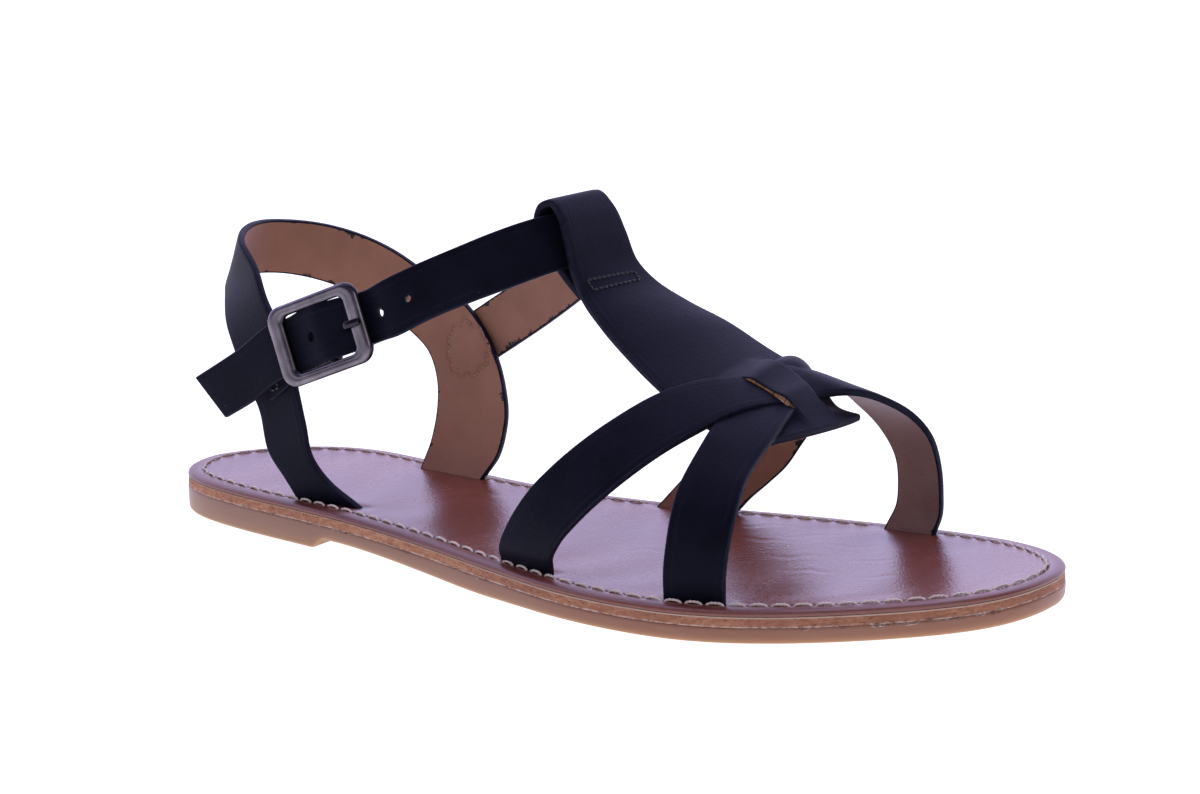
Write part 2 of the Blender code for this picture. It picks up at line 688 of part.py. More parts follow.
def ankle_rows():
    """The ankle strap's rows: tail, buckle and ring, in metres."""
    rows = table(ANKLE_TAIL)
    for _, along, side, out, half in BUCKLE_PATH:
        upper = in_buckle(along, side + half, out)
        lower = in_buckle(along, side - half, out)
        rows.append([*upper, *lower, 0.0])
    return rows + table(ANKLE_RING)


def hole_pegs(rows, count):
    """Twelve-sided pegs through the ankle strap, one for each hole."""
    first, second, outward, run, _ = sections(rows, count)
    middle = (first + second) / 2.0
    points, faces = [], []
    sides = 12
    for share in HOLES:
        at = int(np.argmin(np.abs(middle[: count // 2, 0] - share / 100.0 * LENGTH)))
        toward = np.cross(outward[at], run[at])
        radius = PRONG_HOLE_RADIUS if share == PRONG_HOLE else HOLE_RADIUS
        long = PRONG_HOLE_STRETCH if share == PRONG_HOLE else 1.0
        low = len(points)
        for level in PEG_ENDS:
            for i in range(sides):
                turn = 2.0 * math.pi * i / sides
                spread = run[at] * math.cos(turn) * long + toward * math.sin(turn)
                points.append(middle[at] + outward[at] * level + spread * radius)
        faces.append(tuple(range(low, low + sides)))
        faces.append(tuple(range(low + sides, low + 2 * sides))[::-1])
        for i in range(sides):
            j = (i + 1) % sides
            faces.append((low + i, low + sides + i, low + sides + j, low + j))
    return points, faces


def rounded_rectangle(long, tall, radius, steps=5):
    corners = []
    for index, (sx, sy) in enumerate(((1, 1), (-1, 1), (-1, -1), (1, -1))):
        for step in range(steps):
            turn = math.pi / 2.0 * (index + step / (steps - 1))
            x = sx * (long / 2.0 - radius) + radius * math.cos(turn)
            y = sy * (tall / 2.0 - radius) + radius * math.sin(turn)
            corners.append((x, y))
    return corners


def buckle_ring():
    """Rounded rectangular ring, its bars softly rounded on both faces."""
    inner_long = FRAME_LONG - 2.0 * SIDE_BAR
    inner_tall = FRAME_TALL - 2.0 * EDGE_BAR
    outer = rounded_rectangle(FRAME_LONG, FRAME_TALL, FRAME_CORNER)
    inner = rounded_rectangle(inner_long, inner_tall, FRAME_INNER_CORNER)
    count = len(outer)
    points = []
    for share, level in BAR_SECTION:
        for (ox, oy), (ix, iy) in zip(outer, inner):
            points.append((ox + (ix - ox) * share, oy + (iy - oy) * share, level * FRAME_THICK))
    faces = []
    for level in range(len(BAR_SECTION)):
        low, high = level * count, (level + 1) % len(BAR_SECTION) * count
        for i in range(count):
            j = (i + 1) % count
            faces.append((low + i, low + j, high + j, high + i))
    return points, faces


def bar_across():
    """Centre bar, set back behind the frame and carried by a lug at each end."""
    reach = (FRAME_TALL - EDGE_BAR) / 2.0
    path = ((-reach, 0.0), (-reach, -BAR_DEPTH), (reach, -BAR_DEPTH), (reach, 0.0))
    turns = ((-1.0, 0.0), (-1.0, 1.0), (1.0, 1.0), (1.0, 0.0))
    sides = 8
    points, faces = [], []
    for (up, out), (lean, rise) in zip(path, turns):
        for k in range(sides):
            turn = 2.0 * math.pi * k / sides
            side = BAR_RADIUS * math.sin(turn)
            points.append((BAR_RADIUS * math.cos(turn), up + side * lean, out - side * rise))
    for level in range(len(path) - 1):
        low = level * sides
        for i in range(sides):
            j = (i + 1) % sides
            faces.append((low + i, low + j, low + sides + j, low + sides + i))
    faces.append(tuple(range(sides))[::-1])
    faces.append(tuple(range(3 * sides, 4 * sides)))
    return points, faces


def bent_strip(path, thickness):
    """A strip bent in one plane: (along, height of its middle, lower edge, upper edge) rows."""
    path = np.array(path)
    run = np.gradient(path[:, 0:2], axis=0)
    run /= np.linalg.norm(run, axis=1)[:, None]
    normal = np.column_stack((-run[:, 1], run[:, 0])) * thickness / 2.0
    points = []
    for (along, out, low, high), (na, no) in zip(path, normal):
        points += [(along + na, low, out + no), (along + na, high, out + no)]
        points += [(along - na, high, out - no), (along - na, low, out - no)]
    faces = [(0, 1, 2, 3), tuple(range(4 * len(path) - 4, 4 * len(path)))[::-1]]
    for level in range(len(path) - 1):
        low = level * 4
        for i in range(4):
            j = (i + 1) % 4
            faces.append((low + i, low + 4 + i, low + 4 + j, low + j))
    return points, faces


def curl(radius, start, end, low, high):
    """Rows of a strip curled round the centre bar, between two angles in degrees."""
    rows = []
    for step in range(CURL_STEPS):
        turn = math.radians(start + (end - start) * step / (CURL_STEPS - 1))
        rows.append((radius * math.cos(turn), -BAR_DEPTH + radius * math.sin(turn), low, high))
    return rows


def build():
    clear_scene()
    root = bpy.data.objects.new("sandal", None)
    bpy.context.scene.collection.objects.link(root)
    root.location = (-LENGTH / 2.0, SIDE_SHIFT, 0.0)

    outer_rows = with_feet(table(OUTER_STRAP))
    inner_rows = with_feet(table(INNER_STRAP, INNER_CROWN))
    back_rows = with_feet(table(BACK_STRAP))

    outsole_rings = (
        (0.0014, outsole_bottom),
        (0.00035, lambda x: outsole_bottom(x) + 0.0011),
        (0.0, lambda x: outsole_bottom(x) + 0.0020),
        (0.0, outsole_top),
    )
    solid("outsole", *slab(outsole_rings), "outsole", root)
    board_rings = (
        (BOARD_INSET, board_bottom),
        (BOARD_INSET, board_top),
    )
    solid("midsole", *slab(board_rings), "board", root)
    cover_rings = (
        (0.0004, cover_bottom),
        (0.0001, lambda x: cover_bottom(x) + 0.0003),
        (0.0007, lambda x: cover_bottom(x) + 0.0007),
        (0.0024, lambda x: cover_bottom(x) + 0.0011),
        (0.0048, lambda x: cover_bottom(x) + COVER),
    )
    insole = solid("insole", *slab(cover_rings), "footbed", root)
    slots = helper("slot_cutter", *slot_boxes((outer_rows, inner_rows, back_rows)), root)
    combine(insole, slots, "DIFFERENCE")

    front_trim = (0.0, FACE_TRIM)
    t_rows = table(T_STRAP)
    upper = solid("front_upper", *t_strap(t_rows, T_STATIONS), "strap", root)
    for name, made in (
        ("seam_helper", seam_block(t_rows)),
        ("outer_strap_helper", ribbon(outer_rows, STRAP_STATIONS, trims=front_trim)),
        ("inner_strap_helper", ribbon(inner_rows, STRAP_STATIONS, across=5, trims=front_trim)),
    ):
        combine(upper, helper(name, *made, root), "UNION")
    weld(upper)
    solid("back_strap", *ribbon(back_rows, BACK_STATIONS), "strap", root)

    rows = ankle_rows()
    ankle = solid("ankle_strap", *ribbon(rows, ANKLE_STATIONS, ANKLE_LEATHER), "strap", root)
    pegs = hole_pegs(rows, HOLE_SEARCH_STATIONS)
    combine(ankle, helper("hole_cutter", *pegs, root), "DIFFERENCE")

    place = bpy.data.objects.new("buckle", None)
    bpy.context.scene.collection.objects.link(place)
    place.parent = root
    axes = buckle_axes()
    place.rotation_euler = Matrix(axes).transposed().to_euler()
    place.location = BUCKLE_CENTRE
    frame = solid("buckle_frame", *buckle_ring(), "metal", place)
    combine(frame, helper("centre_bar_helper", *bar_across(), place), "UNION")

    reach = BAR_RADIUS + GAP + CURL / 2.0
    tab_rows = [row[1:] for row in TAB_PATH]
    tab_rows += curl(reach, *TAB_CURL, TAB_LOW, TAB_HIGH)
    tab_rows += [(*row, TAB_LOW, TAB_HIGH) for row in TAB_RETURN]
    tab = solid("buckle_tab", *bent_strip(tab_rows, CURL), "strap", place)
    notch_centre = np.array((NOTCH_AT, PRONG_LEVEL, -BAR_DEPTH))
    notch = box_points(notch_centre, np.eye(3), NOTCH_SIZE)
    combine(tab, helper("notch_cutter", *notch, place), "DIFFERENCE")

    prong_rows = curl(reach, *PRONG_CURL, -PRONG_CURL_HALF, PRONG_CURL_HALF)
    prong_rows += [(row[1], row[2], -row[3] / 2.0, row[3] / 2.0) for row in PRONG_PATH]
    prong = solid("buckle_prong", *bent_strip(prong_rows, PRONG_THICK), "metal", place)
    prong.location = (0.0, PRONG_LEVEL, 0.0)


build()
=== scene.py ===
# %% [markdown]
# # A right-foot t-strap sandal, dressed in leather
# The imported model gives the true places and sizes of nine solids: three sole layers, the woven
# front, the back strap, the ankle strap, and a buckle of three pieces. Those solids are faceted,
# so this lesson remakes each one as a fine mesh in the same place, then gives it stitches and a
# finish. A ready-made texture picture would be quicker, but meshes and shader maths hold up when
# the camera comes close, and every number in them means something on the real sandal.

import math

import bmesh
import bpy
import numpy as np
from mathutils import Matrix, Vector


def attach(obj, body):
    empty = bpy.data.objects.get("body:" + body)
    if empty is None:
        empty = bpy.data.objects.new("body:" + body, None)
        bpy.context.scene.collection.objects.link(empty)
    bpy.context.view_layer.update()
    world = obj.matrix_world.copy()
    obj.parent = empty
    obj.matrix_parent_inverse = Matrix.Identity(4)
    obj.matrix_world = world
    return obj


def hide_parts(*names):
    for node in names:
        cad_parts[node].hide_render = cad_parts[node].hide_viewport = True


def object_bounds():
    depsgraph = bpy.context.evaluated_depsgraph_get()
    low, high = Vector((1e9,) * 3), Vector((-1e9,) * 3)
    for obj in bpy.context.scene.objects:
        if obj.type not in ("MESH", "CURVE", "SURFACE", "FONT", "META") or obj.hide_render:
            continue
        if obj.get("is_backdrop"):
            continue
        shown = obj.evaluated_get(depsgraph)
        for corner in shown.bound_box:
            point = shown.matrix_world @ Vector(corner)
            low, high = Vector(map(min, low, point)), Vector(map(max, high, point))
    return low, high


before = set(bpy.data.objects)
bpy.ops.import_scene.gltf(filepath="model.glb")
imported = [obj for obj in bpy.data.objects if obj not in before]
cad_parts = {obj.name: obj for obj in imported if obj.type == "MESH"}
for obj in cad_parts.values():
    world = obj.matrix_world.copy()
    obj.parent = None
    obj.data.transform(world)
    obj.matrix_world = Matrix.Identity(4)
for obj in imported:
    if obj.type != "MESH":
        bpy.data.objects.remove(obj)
cad_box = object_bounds()
LENGTH = 0.250
BALL_WIDTH = 0.090
INSTEP_HEIGHT = 0.090
SIDE_SHIFT = 0.00592
PLACE = np.array((cad_box[0].x, SIDE_SHIFT, 0.0))
print("solids:", ", ".join(sorted(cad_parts)))
print("box in millimetres:", [round(1000 * side, 1) for side in cad_box[1] - cad_box[0]])

# %% [markdown]
# ## Shader maths as plain expressions
# A finish is a small calculation: so much of this colour where a mask is high, a little rougher
# where it is low. Wiring Math nodes by hand hides that calculation, so one class wraps a socket
# and lets Python's own operators add the nodes. Every other node goes through one method,
# which sets the node's settings first and then its sockets.

# %% A socket that does arithmetic


def operator(operation):
    """A method for one of Python's own operators, which adds a Math node."""
    return lambda wire, other: wire.math(operation, other)


class Wire:
    """One output of a finish's nodes. Arithmetic on it adds Math nodes."""

    __add__ = __radd__ = operator("ADD")
    __mul__ = __rmul__ = operator("MULTIPLY")
    __sub__ = operator("SUBTRACT")

    def __init__(self, finish, socket):
        self.finish = finish
        self.socket = socket

    def __rsub__(self, other):
        return self.math("MULTIPLY", -1.0) + other

    def math(self, operation, *others):
        values = dict(enumerate((self, *others)))
        return self.finish.node("ShaderNodeMath", {"operation": operation}, values)

    def ramp(self, low, high, smooth=True):
        """0 below low, 1 above high, and smooth or straight between."""
        shape = "SMOOTHSTEP" if smooth else "LINEAR"
        sockets = {"Value": self, "From Min": low, "From Max": high}
        return self.finish.node("ShaderNodeMapRange", {"interpolation_type": shape}, sockets)

    def near(self, centre, reach):
        """1 at the centre value, falling smoothly to 0 at reach on either side."""
        return 1.0 - (self - centre).math("ABSOLUTE").ramp(0.0, reach)


class Finish:
    """A material being mixed: a colour, a roughness and a relief worked out by nodes."""

    def __init__(self, name, **constants):
        self.material = bpy.data.materials.new(name)
        self.material.use_nodes = True
        self.tree = self.material.node_tree
        self.shader = self.tree.nodes["Principled BSDF"]
        for socket, value in constants.items():
            self.shader.inputs[socket.replace("_", " ")].default_value = value

    def node(self, kind, settings=None, sockets=None, output=0):
        made = self.tree.nodes.new(kind)
        for setting, value in (settings or {}).items():
            setattr(made, setting, value)
        for socket, value in (sockets or {}).items():
            if isinstance(value, Wire):
                self.tree.links.new(value.socket, made.inputs[socket])
            else:
                made.inputs[socket].default_value = value
        return Wire(self, made.outputs[output])

    def place(self):
        """Position on the object, in metres."""
        return self.node("ShaderNodeTexCoord", output="Object")

    def mark(self, name):
        """A value kept on the mesh's points, as three numbers."""
        vector = self.node("ShaderNodeAttribute", {"attribute_name": name}, output="Vector")
        return [self.split(vector, axis) for axis in "XYZ"]

    def split(self, vector, axis):
        return self.node("ShaderNodeSeparateXYZ", None, {"Vector": vector}, output=axis)

    def join(self, x, y, z=0.0):
        return self.node("ShaderNodeCombineXYZ", None, {"X": x, "Y": y, "Z": z})

    def stretch(self, vector, x, y, z):
        sockets = {0: vector, 1: (x, y, z)}
        return self.node("ShaderNodeVectorMath", {"operation": "MULTIPLY"}, sockets)

    def noise(self, vector, size, detail, roughness):
        """Cloudy values from 0 to 1, with blotches of the given size in metres."""
        sockets = {"Vector": vector, "Scale": 1.0 / size, "Detail": detail, "Roughness": roughness}
        return self.node("ShaderNodeTexNoise", None, sockets, output="Fac")

    def cells(self, vector, size, feature="F1"):
        """Distance to the nearest of scattered points, in shares of the cell size."""
        sockets = {"Vector": vector, "Scale": 1.0 / size}
        return self.node("ShaderNodeTexVoronoi", {"feature": feature}, sockets, "Distance")

    def blend(self, share, start, end):
        """A colour part of the way from start to end; both may be colours or wires."""
        sockets = {0: share}
        for index, colour in ((6, start), (7, end)):
            sockets[index] = colour if isinstance(colour, Wire) else (*colour, 1.0)
        return self.node("ShaderNodeMix", {"data_type": "RGBA"}, sockets, output=2)

    def coats(self, colour, *coats):
        """Lays coats over a colour, one after another, each a share and a colour."""
        for share, coat in coats:
            colour = self.blend(share, colour, coat)
        return colour

    def wear(self, **looks):
        """Links wires to the shader's sockets, such as Base_Color=..."""
        for socket, value in looks.items():
            self.tree.links.new(value.socket, self.shader.inputs[socket.replace("_", " ")])

    def emboss(self, *reliefs):
        """Adds relief and gives the material: heights are 0 to 1, depths are in metres."""
        sockets = {"Strength": 1.0}
        for height, depth in reliefs:
            sockets.update({"Height": height, "Distance": depth})
            sockets["Normal"] = self.node("ShaderNodeBump", None, sockets)
        self.wear(Normal=sockets["Normal"])
        return self.material


print("shader helpers ready")

# %% [markdown]
# ## Navy strap leather
# The straps are cut from a soft, finely grained leather with a matt pigment finish, so dark that
# only its blue-violet highlights show the colour. The grain is small cells, the finish has a
# cloudy variation, and a line is creased in about 2 mm from each edge, where it shows lighter.
# Each strap's points carry a mark called lay: distance along, distance across, and distance
# from the nearest edge. That lets the finish follow the strap round every bend.

# %% Strap leather
CREASE_AT = 0.0021
COOL_SHINE = (0.58, 0.60, 1.0, 1.0)


def strap_leather():
    made = Finish(
        "strap_leather", Specular_IOR_Level=0.11, Specular_Tint=COOL_SHINE,
        Sheen_Weight=0.030, Sheen_Roughness=0.45, Sheen_Tint=(0.52, 0.48, 1.0, 1.0),
    )
    spot = made.place()
    edge = made.mark("lay")[2]
    grain = made.cells(spot, 0.00042, "SMOOTH_F1")
    pores = made.noise(spot, 0.0010, 4.0, 0.65)
    cloud = made.noise(spot, 0.0120, 3.0, 0.5)
    crease = edge.near(CREASE_AT, 0.00060)
    rim = 1.0 - edge.ramp(0.0, 0.0005)
    dust = made.cells(spot, 0.0075).ramp(0.016, 0.030)
    colour = made.coats(
        made.blend(cloud.ramp(0.3, 0.7), (0.0018, 0.0021, 0.0048), (0.0040, 0.0044, 0.0096)),
        (crease * 0.12 * cloud.ramp(0.35, 0.65), (0.026, 0.024, 0.046)),
        # Painted highlight: a lighter lilac line within half a millimetre of each edge.
        (rim * 0.40 * cloud.ramp(0.30, 0.60), (0.046, 0.046, 0.090)),
        ((1.0 - dust) * 0.35, (0.10, 0.09, 0.14)),
    )
    made.wear(Base_Color=colour, Roughness=0.46 + 0.12 * cloud + 0.06 * grain)
    return made.emboss((grain, 0.000045), (pores, 0.000070))


STRAP = strap_leather()

# %% [markdown]
# ## Cut edges and lining
# After cutting, a strap's edges are painted near-black by hand. The paint creeps a little way
# over the lining, unevenly, which is what makes such a sandal look made and not printed. The
# lining is a tan split leather with a short nap. The slits in the T-strap are cut last, so
# their walls stay raw and golden, with fibres that run along the cut.

# %% Edge paint, lining and raw core
NAVY_PAINT = (0.0042, 0.0044, 0.0088)


def edge_paint():
    made = Finish("edge_paint", Specular_IOR_Level=0.20, Specular_Tint=COOL_SHINE)
    lumps = made.noise(made.place(), 0.0016, 4.0, 0.6)
    colour = made.blend(lumps.ramp(0.35, 0.75), NAVY_PAINT, (0.009, 0.010, 0.021))
    made.wear(Base_Color=colour, Roughness=0.42 + 0.25 * lumps)
    return made.emboss((lumps, 0.00018))


def lining_leather(name, tan, tan_deep, glint):
    """A napped lining; the edge paint creeps over it by up to 3 mm, where it has run."""
    made = Finish(
        name, Sheen_Weight=0.10 + glint / 2.0, Sheen_Roughness=0.5,
        Sheen_Tint=(0.86, 0.74, 1.0, 1.0),
    )
    spot = made.place()
    reach, across, edge = made.mark("lay")
    nap = made.noise(spot, 0.00055, 4.0, 0.7)
    blotch = made.noise(spot, 0.0110, 3.0, 0.5)
    fibre = made.noise(made.stretch(spot, 1.0, 1.0, 2.2), 0.0011, 3.0, 0.6)
    lie = made.join(reach, across * 0.35)
    drips = made.noise(lie, 0.0100, 2.0, 0.5).ramp(0.42, 0.58)
    creep = made.noise(lie, 0.0034, 5.0, 0.72).ramp(0.42, 0.80) * drips * 0.0030
    creep = creep + made.noise(lie, 0.0012, 2.0, 0.5) * 0.0003
    paint = 1.0 - (edge - creep).ramp(-0.00006, 0.00010, smooth=False)
    colour = made.coats(
        made.blend(blotch.ramp(0.3, 0.7) * 0.55, tan, tan_deep),
        (nap.ramp(0.45, 0.75) * 0.22, tan_deep),
        (fibre.ramp(0.60, 0.80) * 0.16, (0.50, 0.33, 0.27)),
        (paint, NAVY_PAINT),
    )
    made.wear(Base_Color=colour, Roughness=0.74 - glint * fibre - 0.25 * paint)
    return made.emboss((nap, 0.00007), (fibre, 0.00008), (paint, 0.00005))


def raw_core():
    made = Finish("raw_core", Roughness=0.85)
    reach, across, depth = made.mark("lay")
    fibre = made.noise(made.join(reach, depth * 0.0002, across), 0.00050, 4.0, 0.7)
    colour = made.coats(
        made.blend(fibre.ramp(0.38, 0.60), (0.105, 0.038, 0.012), (0.420, 0.215, 0.090)),
        (depth.ramp(0.62, 0.86) * fibre.ramp(0.30, 0.55), (0.55, 0.42, 0.33)),
        # Painted shade: the top of the raw wall turns near-black, darker than the edge paint, under
        # the strip's lip.
        (1.0 - (depth + fibre * 0.2).ramp(0.22, 0.36), (0.003, 0.003, 0.005)),
    )
    made.wear(Base_Color=colour)
    return made.emboss((fibre, 0.00015))


PAINT = edge_paint()
LINING = lining_leather("lining_leather", (0.392, 0.196, 0.124), (0.290, 0.132, 0.080), 0.10)
# A darker, cooler copy of the lining for the outer strap: its colour paints the shade and lilac
# sheen on this lining; its stronger sheen and glossier fibres are shader settings.
SHADE_SHEEN_LINING = lining_leather("shade_sheen_lining", (0.265, 0.150, 0.118), (0.185, 0.098, 0.078), 0.32)
CORE = raw_core()
SHEET_FINISHES = (STRAP, PAINT, LINING, CORE)
OUTER, EDGE, INNER, RAW = range(4)

# %% [markdown]
# ## Turning arrays of points into a piece
# Every mesh below is worked out with numpy as arrays of points and faces. One helper makes the
# object, shades it smooth but keeps corners crisp, stores the marks, hangs it under the root
# body and hides the imported solid it replaces. Blender's own primitives would need the same
# points moved afterwards, so it is simpler to start from the right points.

# %% The piece helper


def show(name, data):
    """An object that is linked to the scene."""
    obj = bpy.data.objects.new(name, data)
    bpy.context.scene.collection.objects.link(obj)
    return obj


def piece(name, points, faces, finishes, slot, replaces=(), looks=None, lay=None, sharp=38.0):
    """Makes one object in the row frame from points given in the shoe's own frame."""
    mesh = bpy.data.meshes.new(name)
    mesh.from_pydata((np.asarray(points) + PLACE).tolist(), [], [tuple(f) for f in faces])
    for finish in finishes:
        mesh.materials.append(finish)
    if looks is not None:
        mesh.polygons.foreach_set("material_index", np.asarray(looks, np.int32))
    if lay is not None:
        layer = mesh.attributes.new("lay", "FLOAT_VECTOR", "POINT")
        layer.data.foreach_set("vector", np.asarray(lay, np.float32).ravel())
    mesh.shade_smooth()
    mesh.set_sharp_from_angle(angle=math.radians(sharp))
    mesh.update()
    obj = show(name, mesh)
    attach(obj, "root")
    if replaces:
        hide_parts(*replaces)
    print(name, len(points), "points", len(faces), "faces")
    return obj


def outward(obj):
    """Turns a closed piece's faces to point out of it."""
    work = bmesh.new()
    work.from_mesh(obj.data)
    bmesh.ops.recalc_face_normals(work, faces=work.faces)
    work.to_mesh(obj.data)
    work.free()
    return obj


def smoothstep(value, start, end):
    share = np.clip((value - start) / (end - start), 0.0, 1.0)
    return share * share * (3.0 - 2.0 * share)


def hermite(knots, values, slope, wanted):
    """Smooth values between knots, from the values and slopes of the knots."""
    at = np.clip(np.searchsorted(knots, wanted, side="right") - 1, 0, len(knots) - 2)
    step = (knots[at + 1] - knots[at])[:, None]
    part = (wanted - knots[at])[:, None] / step
    start = (2 * part**3 - 3 * part**2 + 1) * values[at]
    leave = (part**3 - 2 * part**2 + part) * step * slope[at]
    end = (-2 * part**3 + 3 * part**2) * values[at + 1]
    arrive = (part**3 - part**2) * step * slope[at + 1]
    return start + leave + end + arrive


def unit(vectors):
    return vectors / np.linalg.norm(vectors, axis=-1, keepdims=True)


def left_of(ways):
    """Flat directions turned a quarter turn to the left."""
    return np.column_stack((-ways[:, 1], ways[:, 0]))


def travelled(points):
    """Distance along an open line at each of its points."""
    return np.concatenate(([0.0], np.cumsum(np.linalg.norm(np.diff(points, axis=0), axis=1))))


def nearest(values, wanted):
    return int(np.argmin(np.abs(values - wanted)))


def grid_faces(levels, count, wrap_levels=False):
    """Quads joining rings of count points."""
    faces = []
    for level in range(levels if wrap_levels else levels - 1):
        low, high = level * count, (level + 1) % levels * count
        for i in range(count):
            j = (i + 1) % count
            faces.append((low + i, low + j, high + j, high + i))
    return faces


def gathered(parts):
    """Joins meshes, each given as points and faces, into one."""
    points, faces, at = [], [], 0
    for part, part_faces in parts:
        faces += [tuple(index + at for index in face) for face in part_faces]
        points.append(part)
        at += len(part)
    return np.vstack(points), faces


# %% [markdown]
# ## The sole's outline and its heights
# The outline is a table of half widths at shares of the length, one row per station, joined by
# smooth curves. Heights are functions of the distance from the heel: flat on the ground under
# the heel and ball, a low heel, a shank just clear of the floor, and a little toe spring.

# %% Outline and heights of the sole
OUTLINE = (
    (1.0, 12.1, 9.1),
    (3.0, 19.2, 17.1),
    (6.0, 24.2, 24.9),
    (10.0, 27.8, 30.8),
    (15.0, 30.7, 32.8),
    (20.0, 32.9, 31.2),
    (30.0, 37.1, 25.9),
    (40.0, 42.6, 25.4),
    (50.0, 49.7, 30.8),
    (60.0, 56.0, 37.6),
    (65.0, 57.3, 40.6),
    (70.0, 56.8, 42.9),
    (75.0, 54.0, 44.1),
    (80.0, 49.1, 43.8),
    (85.0, 42.9, 41.3),
    (90.0, 36.0, 36.1),
    (94.0, 29.8, 28.8),
    (97.0, 23.2, 20.3),
    (99.0, 14.7, 11.6),
)

HEEL_RISE = 0.00285
TOE_SPRING = 0.0060
OUTSOLE = 0.0037
BOARD = 0.0022
COVER = 0.0015
GAP = 0.0003
SIDE_STATIONS = 320


def toe_spring(x):
    return TOE_SPRING * (np.maximum(0.0, x / LENGTH - 0.70) / 0.30) ** 2


def base_height(x):
    return HEEL_RISE * (1.0 - smoothstep(x / LENGTH, 0.22, 0.62)) + toe_spring(x)


def outsole_bottom(x):
    """Ground under the heel, then up the heel breast, along the shank and down to the ball."""
    breast = smoothstep(x / LENGTH, 0.236, 0.258)
    shank = 1.0 - smoothstep(x / LENGTH, 0.262, 0.50)
    return HEEL_RISE * breast * shank + toe_spring(x)


def outsole_top(x):
    return base_height(x) + OUTSOLE


def board_bottom(x):
    return outsole_top(x) + GAP


def board_top(x):
    return board_bottom(x) + BOARD


def cover_bottom(x):
    return board_top(x) + GAP


def cover_top(x):
    return cover_bottom(x) + COVER


def outline_loop(stations):
    """Heel point, buckle side to the toe point, inner side back."""
    share = np.array([row[0] for row in OUTLINE]) / 100.0
    angle = np.concatenate(([0.0], np.arccos(1.0 - 2.0 * share), [math.pi]))
    sides = np.array([row[1:] for row in OUTLINE]) / 100.0 * BALL_WIDTH
    sides = np.vstack(([0.0, 0.0], sides, [0.0, 0.0]))
    slope = np.gradient(sides, angle, axis=0)
    wanted = np.linspace(0.0, math.pi, stations + 2)[1:-1]
    half = hermite(angle, sides, slope, wanted)
    x = LENGTH * (1.0 - np.cos(wanted)) / 2.0
    lateral = np.column_stack((x, -half[:, 0]))
    medial = np.column_stack((x, half[:, 1]))
    toe = (half[-1, 1] - half[-1, 0]) / 2.0
    heel = (half[0, 1] - half[0, 0]) / 2.0
    return np.vstack(([0.0, heel], lateral, [LENGTH, toe], medial[::-1]))


LOOP = outline_loop(SIDE_STATIONS)


def inset_loop(inset):
    return LOOP + left_of(unit(np.roll(LOOP, -1, axis=0) - np.roll(LOOP, 1, axis=0))) * inset


def around(loop):
    """Distance along a closed loop at each of its points."""
    steps = np.linalg.norm(np.diff(loop, axis=0, append=loop[:1]), axis=1)
    return np.concatenate(([0.0], np.cumsum(steps)[:-1])), steps.sum()


print("outline points:", len(LOOP), "round the edge:", round(around(LOOP)[1] * 1000), "mm")

# %% [markdown]
# ## Meshes for the flat layers
# A layer is a stack of rings that follow the outline. Rings near the edge are inset by real
# millimetres, so a rounded border keeps its shape all the way round. Inside the last ring, the
# two sides are joined by cross lines, which gives the footbed points to press and crease.

# %% A layer from rings and cross lines


def layer_mesh(rings, columns):
    """Points, faces and lay marks of a layer; rings are (inset, height function), low to high."""
    count = len(LOOP)
    points, lay = [], []
    for level, (inset, height) in enumerate(rings):
        ring = inset_loop(inset)
        run, _ = around(ring)
        points.append(np.column_stack((ring, height(ring[:, 0]))))
        lay.append(np.column_stack((run, np.full(count, inset), np.full(count, level))))
    faces = grid_faces(len(rings), count)
    shares = np.linspace(0.0, 1.0, columns)[1:-1]
    wide = len(shares)
    for level, flip in ((0, True), (len(rings) - 1, False)):
        low, edge, (inset, height) = level * count, points[level], rings[level]
        at = sum(len(part) for part in points)
        inside = []
        for i in range(1, SIDE_STATIONS + 1):
            start, end = edge[i], edge[count - i]
            line = start + (end - start) * shares[:, None]
            line[:, 2] = height(line[:, 0])
            inside.append(line)
        points.append(np.vstack(inside))
        depth = np.minimum(shares, 1.0 - shares)
        for i, line in enumerate(inside):
            width = np.linalg.norm(edge[i + 1] - edge[count - i - 1])
            lay.append(np.column_stack((line[:, 0], inset + depth * width, line[:, 1])))

        def corner(i, k):
            if k == 0:
                return low + i
            if k == wide + 1:
                return low + (count - i) % count
            return at + (i - 1) * wide + k - 1

        for i in range(1, SIDE_STATIONS):
            for k in range(wide + 1):
                face = (corner(i, k), corner(i, k + 1), corner(i + 1, k + 1), corner(i + 1, k))
                faces.append(face if flip else face[::-1])
        for pole, i in ((low, 1), (low + SIDE_STATIONS + 1, SIDE_STATIONS)):
            for k in range(wide + 1):
                face = (pole, corner(i, k), corner(i, k + 1))
                faces.append(face[::-1] if (i == 1) == flip else face)
    return np.vstack(points), faces, np.vstack(lay)


print("layer helper ready")
